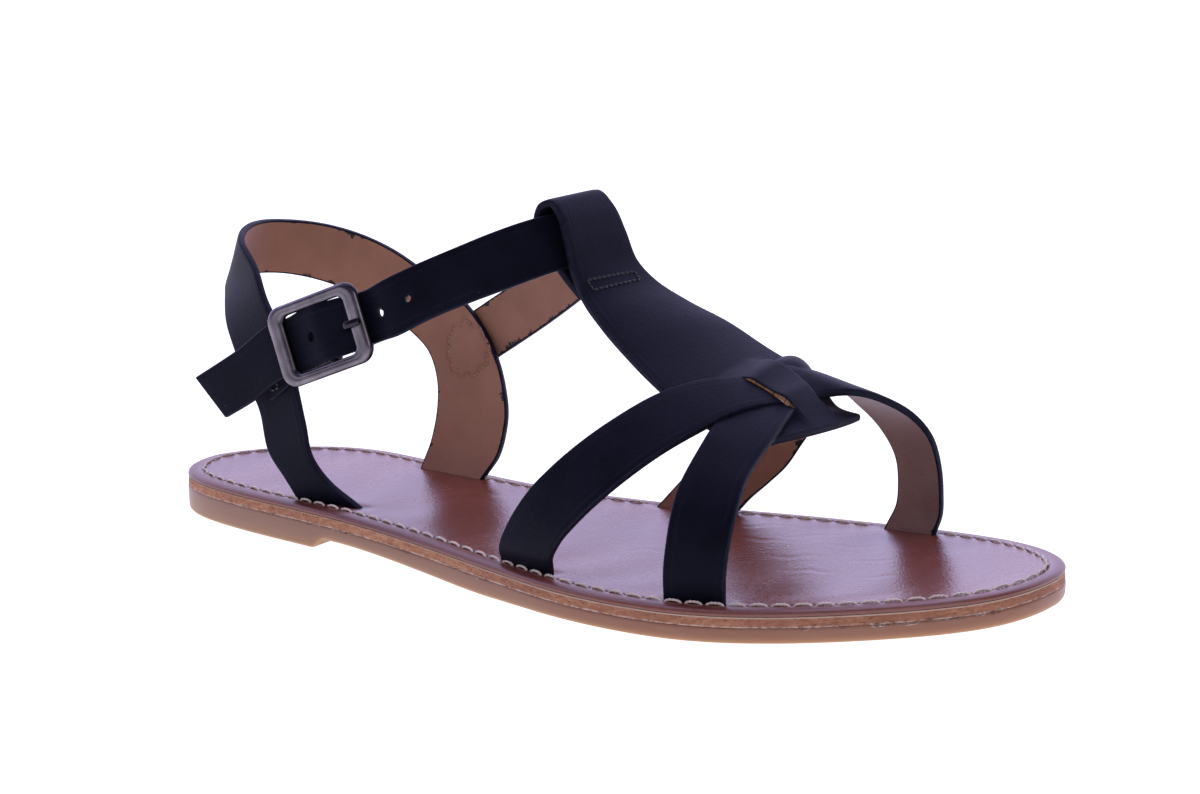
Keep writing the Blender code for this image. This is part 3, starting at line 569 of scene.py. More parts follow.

# %% [markdown]
# ## Outsole
# The outsole is a firm tan sole with a smoothly trimmed and waxed side. Its colour is a little
# paler in the middle of the wall, darker just under its top, and warmer and lighter towards the
# bottom rim. The heel is only a low step. The tread is a shallow pebble, as on most flat leather
# sandals; it is mostly out of sight, so it is made by relief alone.

# %% Outsole finish and mesh


def outsole_finish():
    made = Finish(
        "outsole_side", Coat_Roughness=0.35, Specular_IOR_Level=0.45,
        Subsurface_Weight=0.06, Subsurface_Radius=(0.004, 0.002, 0.001),
    )
    spot = made.place()
    _, inset, level = made.mark("lay")
    streak = made.noise(made.stretch(spot, 1.0, 1.0, 4.0), 0.0120, 3.0, 0.5)
    fine = made.noise(spot, 0.0011, 3.0, 0.6)
    pebble = made.cells(spot, 0.0016, "SMOOTH_F1")
    under = inset.ramp(0.0008, 0.0016)
    forward = made.split(spot, "X").ramp(-0.090, 0.090)
    colour = made.coats(
        made.blend(forward, (0.275, 0.140, 0.096), (0.285, 0.120, 0.072)),
        (streak.ramp(0.35, 0.70) * 0.4, (0.310, 0.165, 0.108)),
        ((1.0 - level.ramp(1.8, 5.6)) * 0.65, (0.480, 0.245, 0.110)),
        (level.ramp(5.0, 6.4) * 0.3, (0.200, 0.088, 0.052)),
        (under * 0.5, (0.26, 0.15, 0.10)),
        (under * pebble.ramp(0.5, 0.9) * 0.35, (0.14, 0.08, 0.055)),
    )
    made.wear(Base_Color=colour, Roughness=0.30 + 0.15 * streak + 0.25 * under)
    return made.emboss((fine, 0.00004), (streak, 0.00012), (pebble * under, 0.00035))


def rings(height, *rows):
    """Rings of a layer from rows of inset and rise above one of the sole's heights."""
    return [(inset, lambda x, rise=rise: height(x) + rise) for inset, rise in rows]


def wall_middle(x):
    return 0.45 * outsole_bottom(x) + 0.55 * outsole_top(x)


outsole_rings = rings(
    outsole_bottom,
    (0.0018, 0.0), (0.0011, 0.00006), (0.0006, 0.0003), (0.00028, 0.0007), (0.0001, 0.0012),
)
outsole_rings += rings(wall_middle, (0.00004, 0.0))
outsole_rings += rings(
    outsole_top, (0.0, -0.0005), (0.00003, -0.00004), (0.0001, 0.00011), (0.0006, 0.00012)
)
points, faces, lay = layer_mesh(outsole_rings, 30)
piece("outsole_dressed", points, faces, (outsole_finish(),), "outsole", ("outsole",), lay=lay)

# %% [markdown]
# ## Board
# Between outsole and footbed lies a stiff board of reddish fibre, cut and sanded but not
# finished. Its edge shows short fibres along the cut and small pits. The cement that holds it
# shows as a thin, uneven, whitish line at the bottom, and the paler cut edge of the cover's
# backing makes a fine cream line at the top.

# %% Board finish and mesh


def board_finish():
    made = Finish("fibre_board", Roughness=0.85)
    spot = made.place()
    run, _, level = made.mark("lay")
    fibre = made.noise(made.join(run * 0.35, level * 0.00045), 0.00070, 5.0, 0.7)
    pits = made.cells(made.join(run * 0.6, level * 0.0006), 0.0010)
    blotch = made.noise(spot, 0.0150, 2.0, 0.5)
    wobble = made.noise(made.join(run, 0.0), 0.0050, 5.0, 0.7)
    forward = made.split(spot, "X").ramp(-0.060, 0.060)
    cement = 1.0 - (level - wobble * 1.4).ramp(0.65, 0.95)
    lip = (level + wobble * 0.8).ramp(4.7, 5.0) * (0.35 + 0.65 * forward)
    colour = made.coats(
        made.blend(fibre.ramp(0.35, 0.7), (0.330, 0.130, 0.068), (0.560, 0.290, 0.175)),
        (blotch.ramp(0.4, 0.7) * 0.35 + forward * 0.30, (0.215, 0.078, 0.045)),
        # Painted shade: the small pits are darker than the board round them.
        ((1.0 - pits.ramp(0.10, 0.28)) * 0.6, (0.16, 0.06, 0.035)),
        (cement * 0.75 * fibre.ramp(0.40, 0.60), (0.60, 0.50, 0.45)),
        (lip, (0.50, 0.37, 0.30)),
    )
    made.wear(Base_Color=colour, Roughness=0.86 - 0.2 * cement)
    return made.emboss((fibre, 0.00022), (pits.ramp(0.05, 0.35), 0.00012))


def cement_finish():
    made = Finish("cement_line", Roughness=0.6)
    lumps = made.noise(made.place(), 0.003, 4.0, 0.7).ramp(0.46, 0.60)
    made.wear(Base_Color=made.blend(lumps, (0.15, 0.070, 0.045), (0.62, 0.53, 0.50)))
    return made.material


board_rings = rings(
    board_bottom,
    (0.0012, -0.00012), (0.00014, -0.00011), (0.00012, 0.00055), (0.00014, 0.0011),
    (0.00018, 0.00175),
)
board_rings += rings(board_top, (0.00024, 0.00011), (0.0012, 0.00012))
points, faces, lay = layer_mesh(board_rings, 12)
piece("board_dressed", points, faces, (board_finish(),), "board", ("midsole",), lay=lay)

CEMENT = cement_finish()
glue_rings = rings(outsole_top, (0.0009, -0.0001), (0.00013, 0.00015))
points, faces, lay = layer_mesh(glue_rings + rings(board_bottom, (0.0009, 0.0001)), 4)
piece("cement_line", points, faces, (CEMENT,), "board", lay=lay)

# %% [markdown]
# ## Tables of the straps
# A strap is described the way a pattern maker would pin it on the last: at each row, where its
# rear edge and its front edge are. Values are percent of the length, of the ball width and of
# the instep height. Smooth curves join the rows, so a fine mesh needs no more numbers.

# %% Strap tables
OUTER_STRAP = (
    ("lateral foot", 50.0, -44.8, 9.9, 57.0, -48.8, 9.6),
    ("lateral turn", 50.6, -48.0, 14.4, 57.5, -50.9, 13.6),
    ("lateral low", 51.9, -48.7, 21.7, 58.6, -52.0, 18.7),
    ("lateral side", 53.8, -48.0, 29.8, 60.1, -51.8, 23.6),
    ("lateral high", 56.1, -46.2, 37.1, 62.4, -50.2, 30.4),
    ("lateral shoulder", 58.6, -41.8, 44.2, 64.8, -46.4, 37.1),
    ("lateral bend", 61.0, -35.3, 50.2, 67.0, -40.0, 42.9),
    ("lateral top", 63.4, -26.0, 55.3, 69.2, -30.7, 47.8),
    ("over the margin", 65.9, -15.1, 57.9, 71.3, -18.9, 51.6),
    ("lateral slit", 68.0, -6.7, 57.9, 73.4, -6.7, 52.2),
    ("medial slit", 68.4, 8.9, 58.4, 74.0, 8.9, 51.1),
    ("medial top", 70.4, 18.9, 56.0, 76.2, 16.1, 52.0),
    ("medial bend", 71.6, 31.1, 50.5, 78.2, 26.1, 48.7),
    ("medial shoulder", 72.3, 38.9, 44.9, 79.8, 34.4, 43.1),
    ("medial high", 74.3, 42.4, 37.8, 81.0, 38.7, 36.7),
    ("medial side", 76.0, 43.6, 28.9, 81.6, 40.9, 28.4),
    ("medial low", 76.4, 43.3, 20.6, 81.9, 40.9, 21.1),
    ("medial turn", 76.3, 42.0, 14.4, 81.9, 40.6, 14.0),
    ("medial foot", 75.6, 40.6, 9.4, 81.5, 39.2, 9.4),
)
INNER_STRAP = (
    ("lateral foot", 69.7, -51.6, 9.4, 75.8, -47.8, 9.4),
    ("lateral turn", 69.8, -52.3, 15.6, 76.0, -48.7, 15.6),
    ("lateral low", 70.0, -51.8, 23.3, 76.3, -48.2, 24.4),
    ("lateral side", 70.0, -49.6, 30.0, 76.4, -45.6, 31.1),
    ("lateral high", 69.8, -44.4, 36.9, 76.1, -40.6, 36.9),
    ("lateral bend", 69.8, -32.2, 46.3, 75.8, -33.8, 41.3),
    ("over the margin", 69.2, -18.9, 51.7, 75.6, -20.7, 47.4),
    ("lateral slit", 68.2, -6.7, 55.3, 74.7, -6.7, 50.6),
    ("medial slit", 67.9, 8.9, 57.3, 73.6, 8.9, 49.8),
    ("medial top", 67.2, 17.2, 57.6, 71.5, 20.6, 53.5),
    ("medial bend", 65.4, 25.0, 54.9, 69.4, 29.5, 51.5),
    ("medial shoulder", 63.2, 30.0, 49.6, 68.9, 37.8, 41.7),
    ("medial high", 61.6, 34.0, 45.6, 67.5, 40.6, 34.4),
    ("medial side", 59.8, 36.2, 38.4, 65.9, 41.2, 27.8),
    ("medial low", 58.0, 36.2, 31.1, 64.5, 40.4, 21.8),
    ("medial ankle", 55.8, 34.4, 23.9, 62.8, 38.6, 16.7),
    ("medial turn", 53.6, 31.3, 16.1, 61.2, 36.0, 12.2),
    ("medial foot", 51.9, 28.2, 9.6, 60.4, 34.0, 9.3),
)
INNER_CROWN = {
    "medial slit": 0.0005,
    "medial top": 0.0018,
    "medial bend": 0.0026,
    "medial shoulder": 0.0010,
}
BACK_STRAP = (
    ("lateral foot", 20.3, -28.4, 12.3, 27.7, -27.7, 12.3),
    ("lateral turn", 19.2, -29.3, 17.4, 25.3, -29.1, 16.9),
    ("lateral low", 17.3, -30.0, 25.0, 23.0, -30.4, 24.4),
    ("lateral side", 16.6, -30.9, 36.7, 22.5, -32.0, 35.0),
    ("lateral high", 14.6, -30.2, 45.6, 21.6, -32.7, 47.8),
    ("lateral shoulder", 12.4, -27.3, 52.9, 19.8, -31.8, 60.0),
    ("lateral bend", 10.1, -22.9, 59.3, 17.2, -29.6, 68.9),
    ("heel lateral", 7.8, -15.6, 65.3, 14.6, -25.1, 76.9),
    ("heel corner", 6.2, -9.4, 68.2, 11.2, -19.4, 82.7),
    ("heel back", 5.5, -1.1, 69.3, 8.3, -6.7, 85.3),
    ("heel back medial", 6.0, 6.8, 69.1, 7.5, 4.8, 85.3),
    ("heel medial", 7.7, 15.0, 67.8, 9.5, 16.5, 83.8),
    ("medial bend", 11.4, 23.0, 64.2, 13.2, 24.1, 80.9),
    ("medial top", 16.2, 27.1, 58.0, 18.0, 28.4, 75.6),
    ("medial high", 20.4, 28.7, 51.3, 22.8, 30.2, 68.0),
    ("medial shoulder", 22.8, 29.1, 45.3, 27.4, 30.9, 60.3),
    ("medial side", 24.1, 28.0, 37.8, 30.7, 29.8, 50.0),
    ("medial low", 24.5, 26.2, 28.9, 32.7, 28.2, 37.8),
    ("medial ankle", 24.2, 24.2, 20.0, 33.4, 26.0, 26.7),
    ("medial turn", 23.8, 23.1, 15.6, 32.9, 23.2, 17.2),
    ("medial foot", 23.5, 22.4, 12.9, 32.0, 21.6, 12.9),
)
T_STRAP = (
    ("tail", 74.7, -21.2, 45.7, 75.7, 22.2, 44.3),
    ("tail root", 72.0, -23.3, 46.4, 73.8, 20.2, 46.0),
    ("slit end", 69.0, -24.0, 47.5, 71.0, 24.7, 50.4),
    ("slit start", 65.8, -23.8, 51.5, 68.2, 24.7, 55.1),
    ("flare", 62.7, -22.2, 56.0, 65.2, 23.9, 59.2),
    ("flare start", 58.4, -18.9, 62.7, 61.2, 21.1, 66.0),
    ("neck", 54.8, -15.6, 69.1, 57.4, 17.8, 71.3),
    ("neck top", 51.9, -12.8, 76.2, 53.9, 16.0, 76.9),
    ("seam", 50.6, -11.7, 82.9, 52.2, 15.0, 81.8),
    ("loop front", 49.8, -11.1, 90.6, 50.9, 14.8, 89.8),
    ("loop shoulder", 49.0, -10.6, 97.0, 49.6, 14.6, 96.5),
    ("loop top", 47.7, -10.2, 100.5, 47.9, 14.4, 100.5),
    ("loop back", 46.1, -10.2, 99.0, 46.2, 14.2, 99.0),
    ("back leaf", 45.5, -10.4, 94.5, 45.6, 14.2, 94.5),
    ("back leaf middle", 46.7, -10.7, 86.8, 46.9, 14.2, 86.8),
    ("back leaf low", 48.8, -10.9, 79.6, 49.0, 14.2, 79.4),
    ("back leaf end", 51.0, -11.3, 73.8, 51.7, 14.4, 73.4),
)
ANKLE_TAIL = (
    ("tail end", 10.3, -37.8, 45.8, 14.2, -37.8, 35.3),
    ("tail", 15.9, -37.9, 55.1, 17.6, -37.9, 40.7),
)
ANKLE_RING = (
    ("side", 33.7, -34.6, 78.8, 35.6, -35.5, 64.2),
    ("quarter", 37.0, -31.1, 83.6, 39.0, -32.2, 69.4),
    ("instep side", 40.9, -27.4, 88.6, 42.9, -28.4, 74.3),
    ("instep", 44.0, -20.8, 92.8, 46.6, -21.8, 78.8),
    ("loop mouth", 46.2, -14.0, 95.4, 48.6, -14.2, 81.3),
    ("loop lateral", 47.4, -7.8, 96.5, 49.6, -7.8, 82.4),
    ("loop medial", 47.4, 13.6, 95.6, 49.7, 13.8, 81.7),
    ("medial mouth", 46.0, 19.8, 91.0, 48.1, 20.6, 77.6),
    ("medial instep", 42.0, 25.6, 83.0, 44.2, 25.8, 69.4),
    ("medial side", 36.7, 30.2, 73.4, 38.9, 30.2, 59.6),
    ("medial quarter", 31.5, 32.5, 65.1, 34.1, 32.1, 51.1),
    ("medial end", 26.4, 33.1, 56.2, 29.1, 32.6, 42.4),
    ("under the rosette", 23.2, 32.8, 50.6, 25.9, 31.8, 36.8),
)
BUCKLE_PATH = (
    ("behind the rear bar", -0.0142, 0.0004, -0.0018, 0.0070),
    ("inside the rear bar", -0.0096, 0.0000, -0.0016, 0.0072),
    ("rising", -0.0045, 0.0003, -0.0002, 0.0073),
    ("over the centre bar", 0.0, 0.0005, 0.0006, 0.0072),
    ("falling", 0.0045, 0.0004, -0.0003, 0.0071),
    ("inside the front bar", 0.0096, 0.0003, -0.0016, 0.0069),
    ("in front of the bar", 0.0142, 0.0002, -0.0019, 0.0066),
)


def table(rows, crowns=None):
    """Rows in metres without their names, each with the crown of its section at the end."""
    scale = (LENGTH, BALL_WIDTH, INSTEP_HEIGHT) * 2
    made = []
    for row in rows:
        crown = (crowns or {}).get(row[0], 0.0)
        made.append([value / 100.0 * size for value, size in zip(row[1:], scale)] + [crown])
    return made


def with_feet(rows):
    """Carries both ends on, the way they already run, down to the board."""
    rows = np.array(rows, float)
    feet = []
    for foot, above in ((rows[0], rows[1]), (rows[-1], rows[-2])):
        row = foot.copy()
        for at in (0, 3):
            drop = (foot[at + 2] - cover_bottom(foot[at])) / (above[at + 2] - foot[at + 2])
            row[at : at + 3] = foot[at : at + 3] + (foot - above)[at : at + 3] * drop
        feet.append(row)
    return [feet[0], *rows, feet[1]]


OUTER_ROWS = with_feet(table(OUTER_STRAP))
INNER_ROWS = with_feet(table(INNER_STRAP, INNER_CROWN))
BACK_ROWS = with_feet(table(BACK_STRAP))
T_ROWS = table(T_STRAP)
print("strap rows:", len(OUTER_ROWS), len(INNER_ROWS), len(BACK_ROWS), len(T_ROWS))

# %% [markdown]
# ## From rows to even sections
# The rows are joined into two smooth edge curves. At even steps along the strap we then know
# both edges, the direction the strap runs and the direction it faces. Everything on the strap,
# its creases, holes and stitches, is placed with these frames.

# %% Sections along a strap


class Sections:
    """Evenly spaced cross sections of a strap."""

    def __init__(self, rows, spacing=0.0008, trims=(0.0, 0.0), ends=(False, False)):
        rows = np.array(rows, float)
        along = travelled((rows[:, 0:3] + rows[:, 3:6]) / 2.0)
        total = along[-1]
        wanted = np.linspace(0.0, total, int(total / spacing) + 2)
        close = CORNER * np.array((0.05, 0.25, 0.55, 0.9))
        if ends[0]:
            wanted = np.concatenate((wanted[:1], close, wanted[1:]))
        if ends[1]:
            wanted = np.concatenate((wanted[:-1], total - close[::-1], wanted[-1:]))
        values = hermite(along, rows, np.gradient(rows, along, axis=0), wanted)
        self.first, self.second = values[:, 0:3], values[:, 3:6]
        self.across = unit(self.second - self.first)
        self.first = self.first + self.across * trims[0]
        self.second = self.second - self.across * trims[1]
        self.width = np.linalg.norm(self.second - self.first, axis=1)
        self.run = unit(np.gradient((self.first + self.second) / 2.0, wanted, axis=0))
        self.out = unit(np.cross(self.second - self.first, self.run))
        self.crown = values[:, 6]
        self.reach = wanted
        self.total = total
        self.ends = ends

    def from_end(self):
        """Distance from the nearest end that shows, or far away where none does."""
        far = np.full(len(self.reach), 1.0)
        if self.ends[0]:
            far = np.minimum(far, self.reach)
        if self.ends[1]:
            far = np.minimum(far, self.total - self.reach)
        return far

    def at(self, reach, share):
        """A point of the outer face, and the direction that it faces."""
        i = nearest(self.reach, reach)
        point = self.first[i] + (self.second[i] - self.first[i]) * share
        point = point + self.run[i] * (reach - self.reach[i])
        bulge = self.crown[i] * (1.0 - (2.0 * share - 1.0) ** 2)
        return point + self.out[i] * bulge, self.out[i]


CORNER = 0.00045
CREASE_DEPTH = 0.00003
SHOULDER = 0.00010
LEATHER = 0.0019
ANKLE_LEATHER = 0.0018
FACE_TRIM = 0.0011
END_MARGIN = 0.0002
UNDER_CORNER = 0.6
FAR_FROM_EDGE = 0.004
CREASE_WIDTH = 0.00045
SHOULDER_SPAN = (0.0003, 0.0019)


def face_relief(edge):
    """How far the outer face lies below flat: a soft shoulder at the edge and a crease."""
    crease = CREASE_DEPTH * np.exp(-(((edge - CREASE_AT) / CREASE_WIDTH) ** 2))
    shoulder = SHOULDER * (1.0 - smoothstep(edge, *SHOULDER_SPAN))
    return -crease - shoulder


def corner_drop(edge):
    """Rounding of a cut end, as a quarter circle."""
    inside = np.clip(CORNER - edge, 0.0, CORNER)
    return CORNER - np.sqrt(np.maximum(CORNER**2 - inside**2, 0.0))


NEAR = np.array((0.45, 0.8, 1.2, 1.5, 1.7, 1.9, 2.1, 2.3, 2.5, 2.9, 3.6, 4.6)) / 1000.0
WALL = np.radians((22.5, 45.0, 67.5))


def face_places(width, middle):
    """Distances across a face: close together beside both edges, even between them."""
    near = NEAR * min(1.0, 0.40 * width / NEAR[-1])
    between = np.linspace(near[-1], width - near[-1], middle + 2)[1:-1]
    return np.concatenate((near, between, (width - near)[::-1]))


print("section helper ready")

# %% [markdown]
# ## A strap as a closed ring of points
# Each section becomes a ring: across the outer face, round the painted edge, back across the
# lining, and round the other edge. Joining ring to ring gives a closed strap of true thickness.
# Faces know whether they are outer leather, edge, or lining, so one mesh wears them all. For a
# hole, the faces round one point are left out, and rings of points go down its wall instead.

# %% The strap mesh


class StrapMesh:
    """Points, faces, finishes and marks of one plain strap."""

    def __init__(self, sections, thickness=LEATHER, middle=7, press=None):
        self.sections, self.thickness = sections, thickness
        self.columns = columns = 2 * len(NEAR) + middle
        self.count = len(sections.reach)
        self.open = {}
        down, inward = CORNER * (1.0 - np.cos(WALL)), CORNER * (1.0 - np.sin(WALL))
        points, lay = [], []
        end_gap = sections.from_end()
        drops = corner_drop(end_gap)
        for i in range(self.count):
            width, drop = sections.width[i], drops[i]
            s = face_places(width, middle)
            edge = np.minimum(np.minimum(s, width - s), end_gap[i] + END_MARGIN)
            bulge = sections.crown[i] * (1.0 - (2.0 * s / width - 1.0) ** 2)
            high = face_relief(edge) + bulge - drop
            low = -thickness + bulge + 0.5 * drop
            if press is not None:
                low = low + press(sections.reach[i], s / width)
            over = np.concatenate((inward, UNDER_CORNER * inward[::-1]))
            upper = face_relief(CORNER) - drop - down
            lower = -thickness + 0.5 * drop + UNDER_CORNER * down[::-1]
            level = np.concatenate((upper, lower))
            for aside, height, turn in (
                (s, high, 1), (width - over, level, 1), (s, low, -1), (over, level, -1)
            ):
                spots = sections.first[i] + sections.across[i] * aside[:, None]
                points.append((spots + sections.out[i] * height[:, None])[::turn])
            reach = np.full(columns, sections.reach[i])
            face = np.column_stack((reach, s, edge))
            wall = np.array([(sections.reach[i], width, 0.0)] * len(over))
            lay += [face, wall, face[::-1], wall * (1.0, 0.0, 1.0)]
        self.points = list(np.vstack(points))
        self.lay = list(np.vstack(lay))
        wall = [EDGE] * 2 * len(WALL)
        self.looks_round = [OUTER] * columns + wall + [INNER] * (columns - 1) + wall + [OUTER]
        self.ring = len(self.looks_round)

    def punch(self, i, k, radius, stretch, half):
        """Plans a round hole through the strap, centred on section i and face column k."""
        self.open[i, k] = (radius, stretch, half)

    def close(self):
        """Makes the faces, leaving out and rebuilding what the holes take away."""
        ring, low = self.ring, self.columns + 2 * len(WALL)
        gone = set()
        for (i, k), (_, _, half) in self.open.items():
            for a in range(i - half, i + half):
                for b in range(k - half, k + half):
                    gone |= {(a, b), (a, low + self.columns - 2 - b)}
        every = grid_faces(self.count, ring)
        kept = [n for n in range(len(every)) if divmod(n, ring) not in gone]
        self.faces = [every[n] for n in kept]
        self.looks = [self.looks_round[n % ring] for n in kept]
        for (i, k), (radius, stretch, half) in self.open.items():
            self.line_hole(i, k, radius, stretch, half, low)
        last = (self.count - 1) * ring
        self.faces += [tuple(range(ring))[::-1], tuple(range(last, last + ring))]
        self.looks += [EDGE, EDGE]

    def line_hole(self, i, k, radius, stretch, half, bottom_at):
        """Joins both faces through a hole by rings that go down its wall."""
        sections, ring = self.sections, self.ring
        turn = [(a, -half) for a in range(-half, half)]
        turn += [(half, b) for b in range(-half, half)]
        turn += [(a, half) for a in range(half, -half, -1)]
        turn += [(-half, b) for b in range(half, -half, -1)]
        top = [(i + a) * ring + k + b for a, b in turn]
        low = [(i + a) * ring + bottom_at + self.columns - 1 - (k + b) for a, b in turn]
        centre = self.points[i * ring + k]
        run, across, out = sections.run[i], sections.across[i], sections.out[i]
        spreads = []
        for index in top:
            ray = self.points[index] - centre
            flat = np.array((np.dot(ray, run), np.dot(ray, across)))
            flat /= np.linalg.norm(flat)
            spreads.append(run * flat[0] * stretch + across * flat[1])
        levels = (
            (1.35, -0.00002), (1.05, -0.00012), (0.95, -0.0004),
            (0.95, -self.thickness + 0.0003), (1.12, -self.thickness + 0.00003),
        )
        loops = [top]
        for grow, sink in levels:
            at = len(self.points)
            for spread in spreads:
                self.points.append(centre + spread * radius * grow + out * sink)
                self.lay.append(np.array((sections.reach[i], 0.0, FAR_FROM_EDGE)))
            loops.append(list(range(at, at + len(turn))))
        loops.append(low)
        finishes = (OUTER, OUTER, EDGE, EDGE, INNER, INNER)
        for one, two, finish in zip(loops, loops[1:], finishes):
            for n in range(len(turn)):
                m = (n + 1) % len(turn)
                self.faces.append((one[n], one[m], two[m], two[n]))
                self.looks.append(finish)

    def make(self, name, replaces, finishes=SHEET_FINISHES):
        self.close()
        points, lay = np.array(self.points), np.array(self.lay)
        made = piece(name, points, self.faces, finishes, "strap", (replaces,), self.looks, lay)
        return outward(made)


print("strap mesh ready")

# %% [markdown]
# ## The two crossed straps
# Both straps start under the footbed's outer side, climb over the foot, pass under the strip
# that stands between the T-strap's two slits, and come down on the inner side. The second one
# humps up beside the knot, because the weave leaves it longer than the first.

# %% Crossed straps
SHADE_SHEEN_LINED = (STRAP, PAINT, SHADE_SHEEN_LINING, CORE)
for name, rows, finishes in (
    ("outer_strap", OUTER_ROWS, SHADE_SHEEN_LINED), ("inner_strap", INNER_ROWS, SHEET_FINISHES)
):
    crossed = StrapMesh(Sections(rows, trims=(0.0, FACE_TRIM)))
    crossed.make(name, "front_upper", finishes)

# %% [markdown]
# ## The T-strap
# The T-strap is one piece of leather: a broad bow-shaped tail with two slits, a neck, a loop
# that the ankle strap passes through, and a leaf folded back behind. Between the slits a strip
# is pulled up so that the crossed straps pass under it. The mesh is three strips side by side
# that share their points, except along the slits, where each has a wall of its own. The folded
# part wears the strap leather on both faces: painted shade for the lining inside the loop.

# %% T-strap shape
T_CROWN = 0.0023
T_CROWN_FADE = (0.075, 0.045)
TAIL_BULGE = 0.0030
TAIL_REACH = 0.0120
FRONT_LEAF = 0.0625
STRIP_LIFT = 0.0052
LIFT_REAR = (0.1640, 0.1725)
LIFT_FRONT = (0.1808, 0.1904)
TAIL_FLAT = 0.0060
SLIT_ENDS = (0.1680, 0.1848)
SLIT_SHARES = (0.355, 0.675)
SLIT_OPEN = 0.008
SLIT_TAPER = 0.0015
MARGIN_FADE = 0.0012


def strip_lift(x):
    """Height of the strip between the slits above the rest of the T-strap."""
    return STRIP_LIFT * smoothstep(x, *LIFT_REAR) * (1.0 - smoothstep(x, *LIFT_FRONT))


def margin_lift(x):
    """Lift of the margins: it follows the strip beyond the slits and fades beside them."""
    if x <= SLIT_ENDS[0] or x >= SLIT_ENDS[1]:
        return strip_lift(x)
    near = min(SLIT_ENDS, key=lambda end: abs(end - x))
    return strip_lift(near) * max(0.0, 1.0 - abs(x - near) / MARGIN_FADE) ** 2


def t_surface(sections, i, s, part):
    """A point of the T-strap's outer face without its relief, s metres from the first edge."""
    width, reach = sections.width[i], sections.reach[i]
    share = s / width
    out, run = sections.out[i], sections.run[i]
    bend = 1.0 - (2.0 * share - 1.0) ** 2
    spread = 1.0 - smoothstep(reach, T_CROWN_FADE[1], T_CROWN_FADE[0])
    spread = spread * smoothstep(reach, -TAIL_FLAT, TAIL_FLAT)
    point = sections.first[i] + sections.across[i] * s + out * T_CROWN * bend * spread
    point = point - run * TAIL_BULGE * bend * max(0.0, 1.0 - reach / TAIL_REACH) ** 2
    if reach > FRONT_LEAF:
        return point
    if part == 1:
        return point + out * strip_lift(point[0])
    near = share / SLIT_SHARES[0] if part == 0 else (1.0 - share) / (1.0 - SLIT_SHARES[1])
    return point + out * margin_lift(point[0]) * near**5


EDGE_COLUMNS = 7
STRIP_COLUMNS = 14


def t_places(width, opening, slit_corner):
    """Distances across for the margin, the strip and the other margin."""
    near = NEAR * min(1.0, 0.30 * width / NEAR[-1])
    left, right = SLIT_SHARES[0] * width, SLIT_SHARES[1] * width
    first = np.linspace(near[-1], left - opening - slit_corner, EDGE_COLUMNS + 1)[1:]
    middle = np.linspace(left + opening + slit_corner, right - opening - slit_corner, STRIP_COLUMNS)
    last = np.linspace(right + opening + slit_corner, width - near[-1], EDGE_COLUMNS + 1)[:-1]
    return (np.concatenate((near, first)), middle, np.concatenate((last, (width - near)[::-1])))


def slit_opening(x):
    """0 outside the slits, rising to 1 a little way in from their ends."""
    inside = min(x - SLIT_ENDS[0], SLIT_ENDS[1] - x)
    return float(np.clip(inside / SLIT_TAPER, 0.0, 1.0)) ** 0.5


lifts = [round(1000 * float(strip_lift(x)), 1) for x in (0.16, 0.17, 0.18, 0.19)]
print("strip lift in mm:", lifts)

# %% T-strap mesh


WALLS = [(part, side) for part in range(3) for side in (0, -1)]
OUTER_WALLS = (0, 0), (2, -1)
SLIT_PAINT = 3


def quads(one, two, flip=False):
    """Faces between two lines of as many points."""
    made = [(one[n], one[n + 1], two[n + 1], two[n]) for n in range(len(one) - 1)]
    return [face[::-1] for face in made] if flip else made


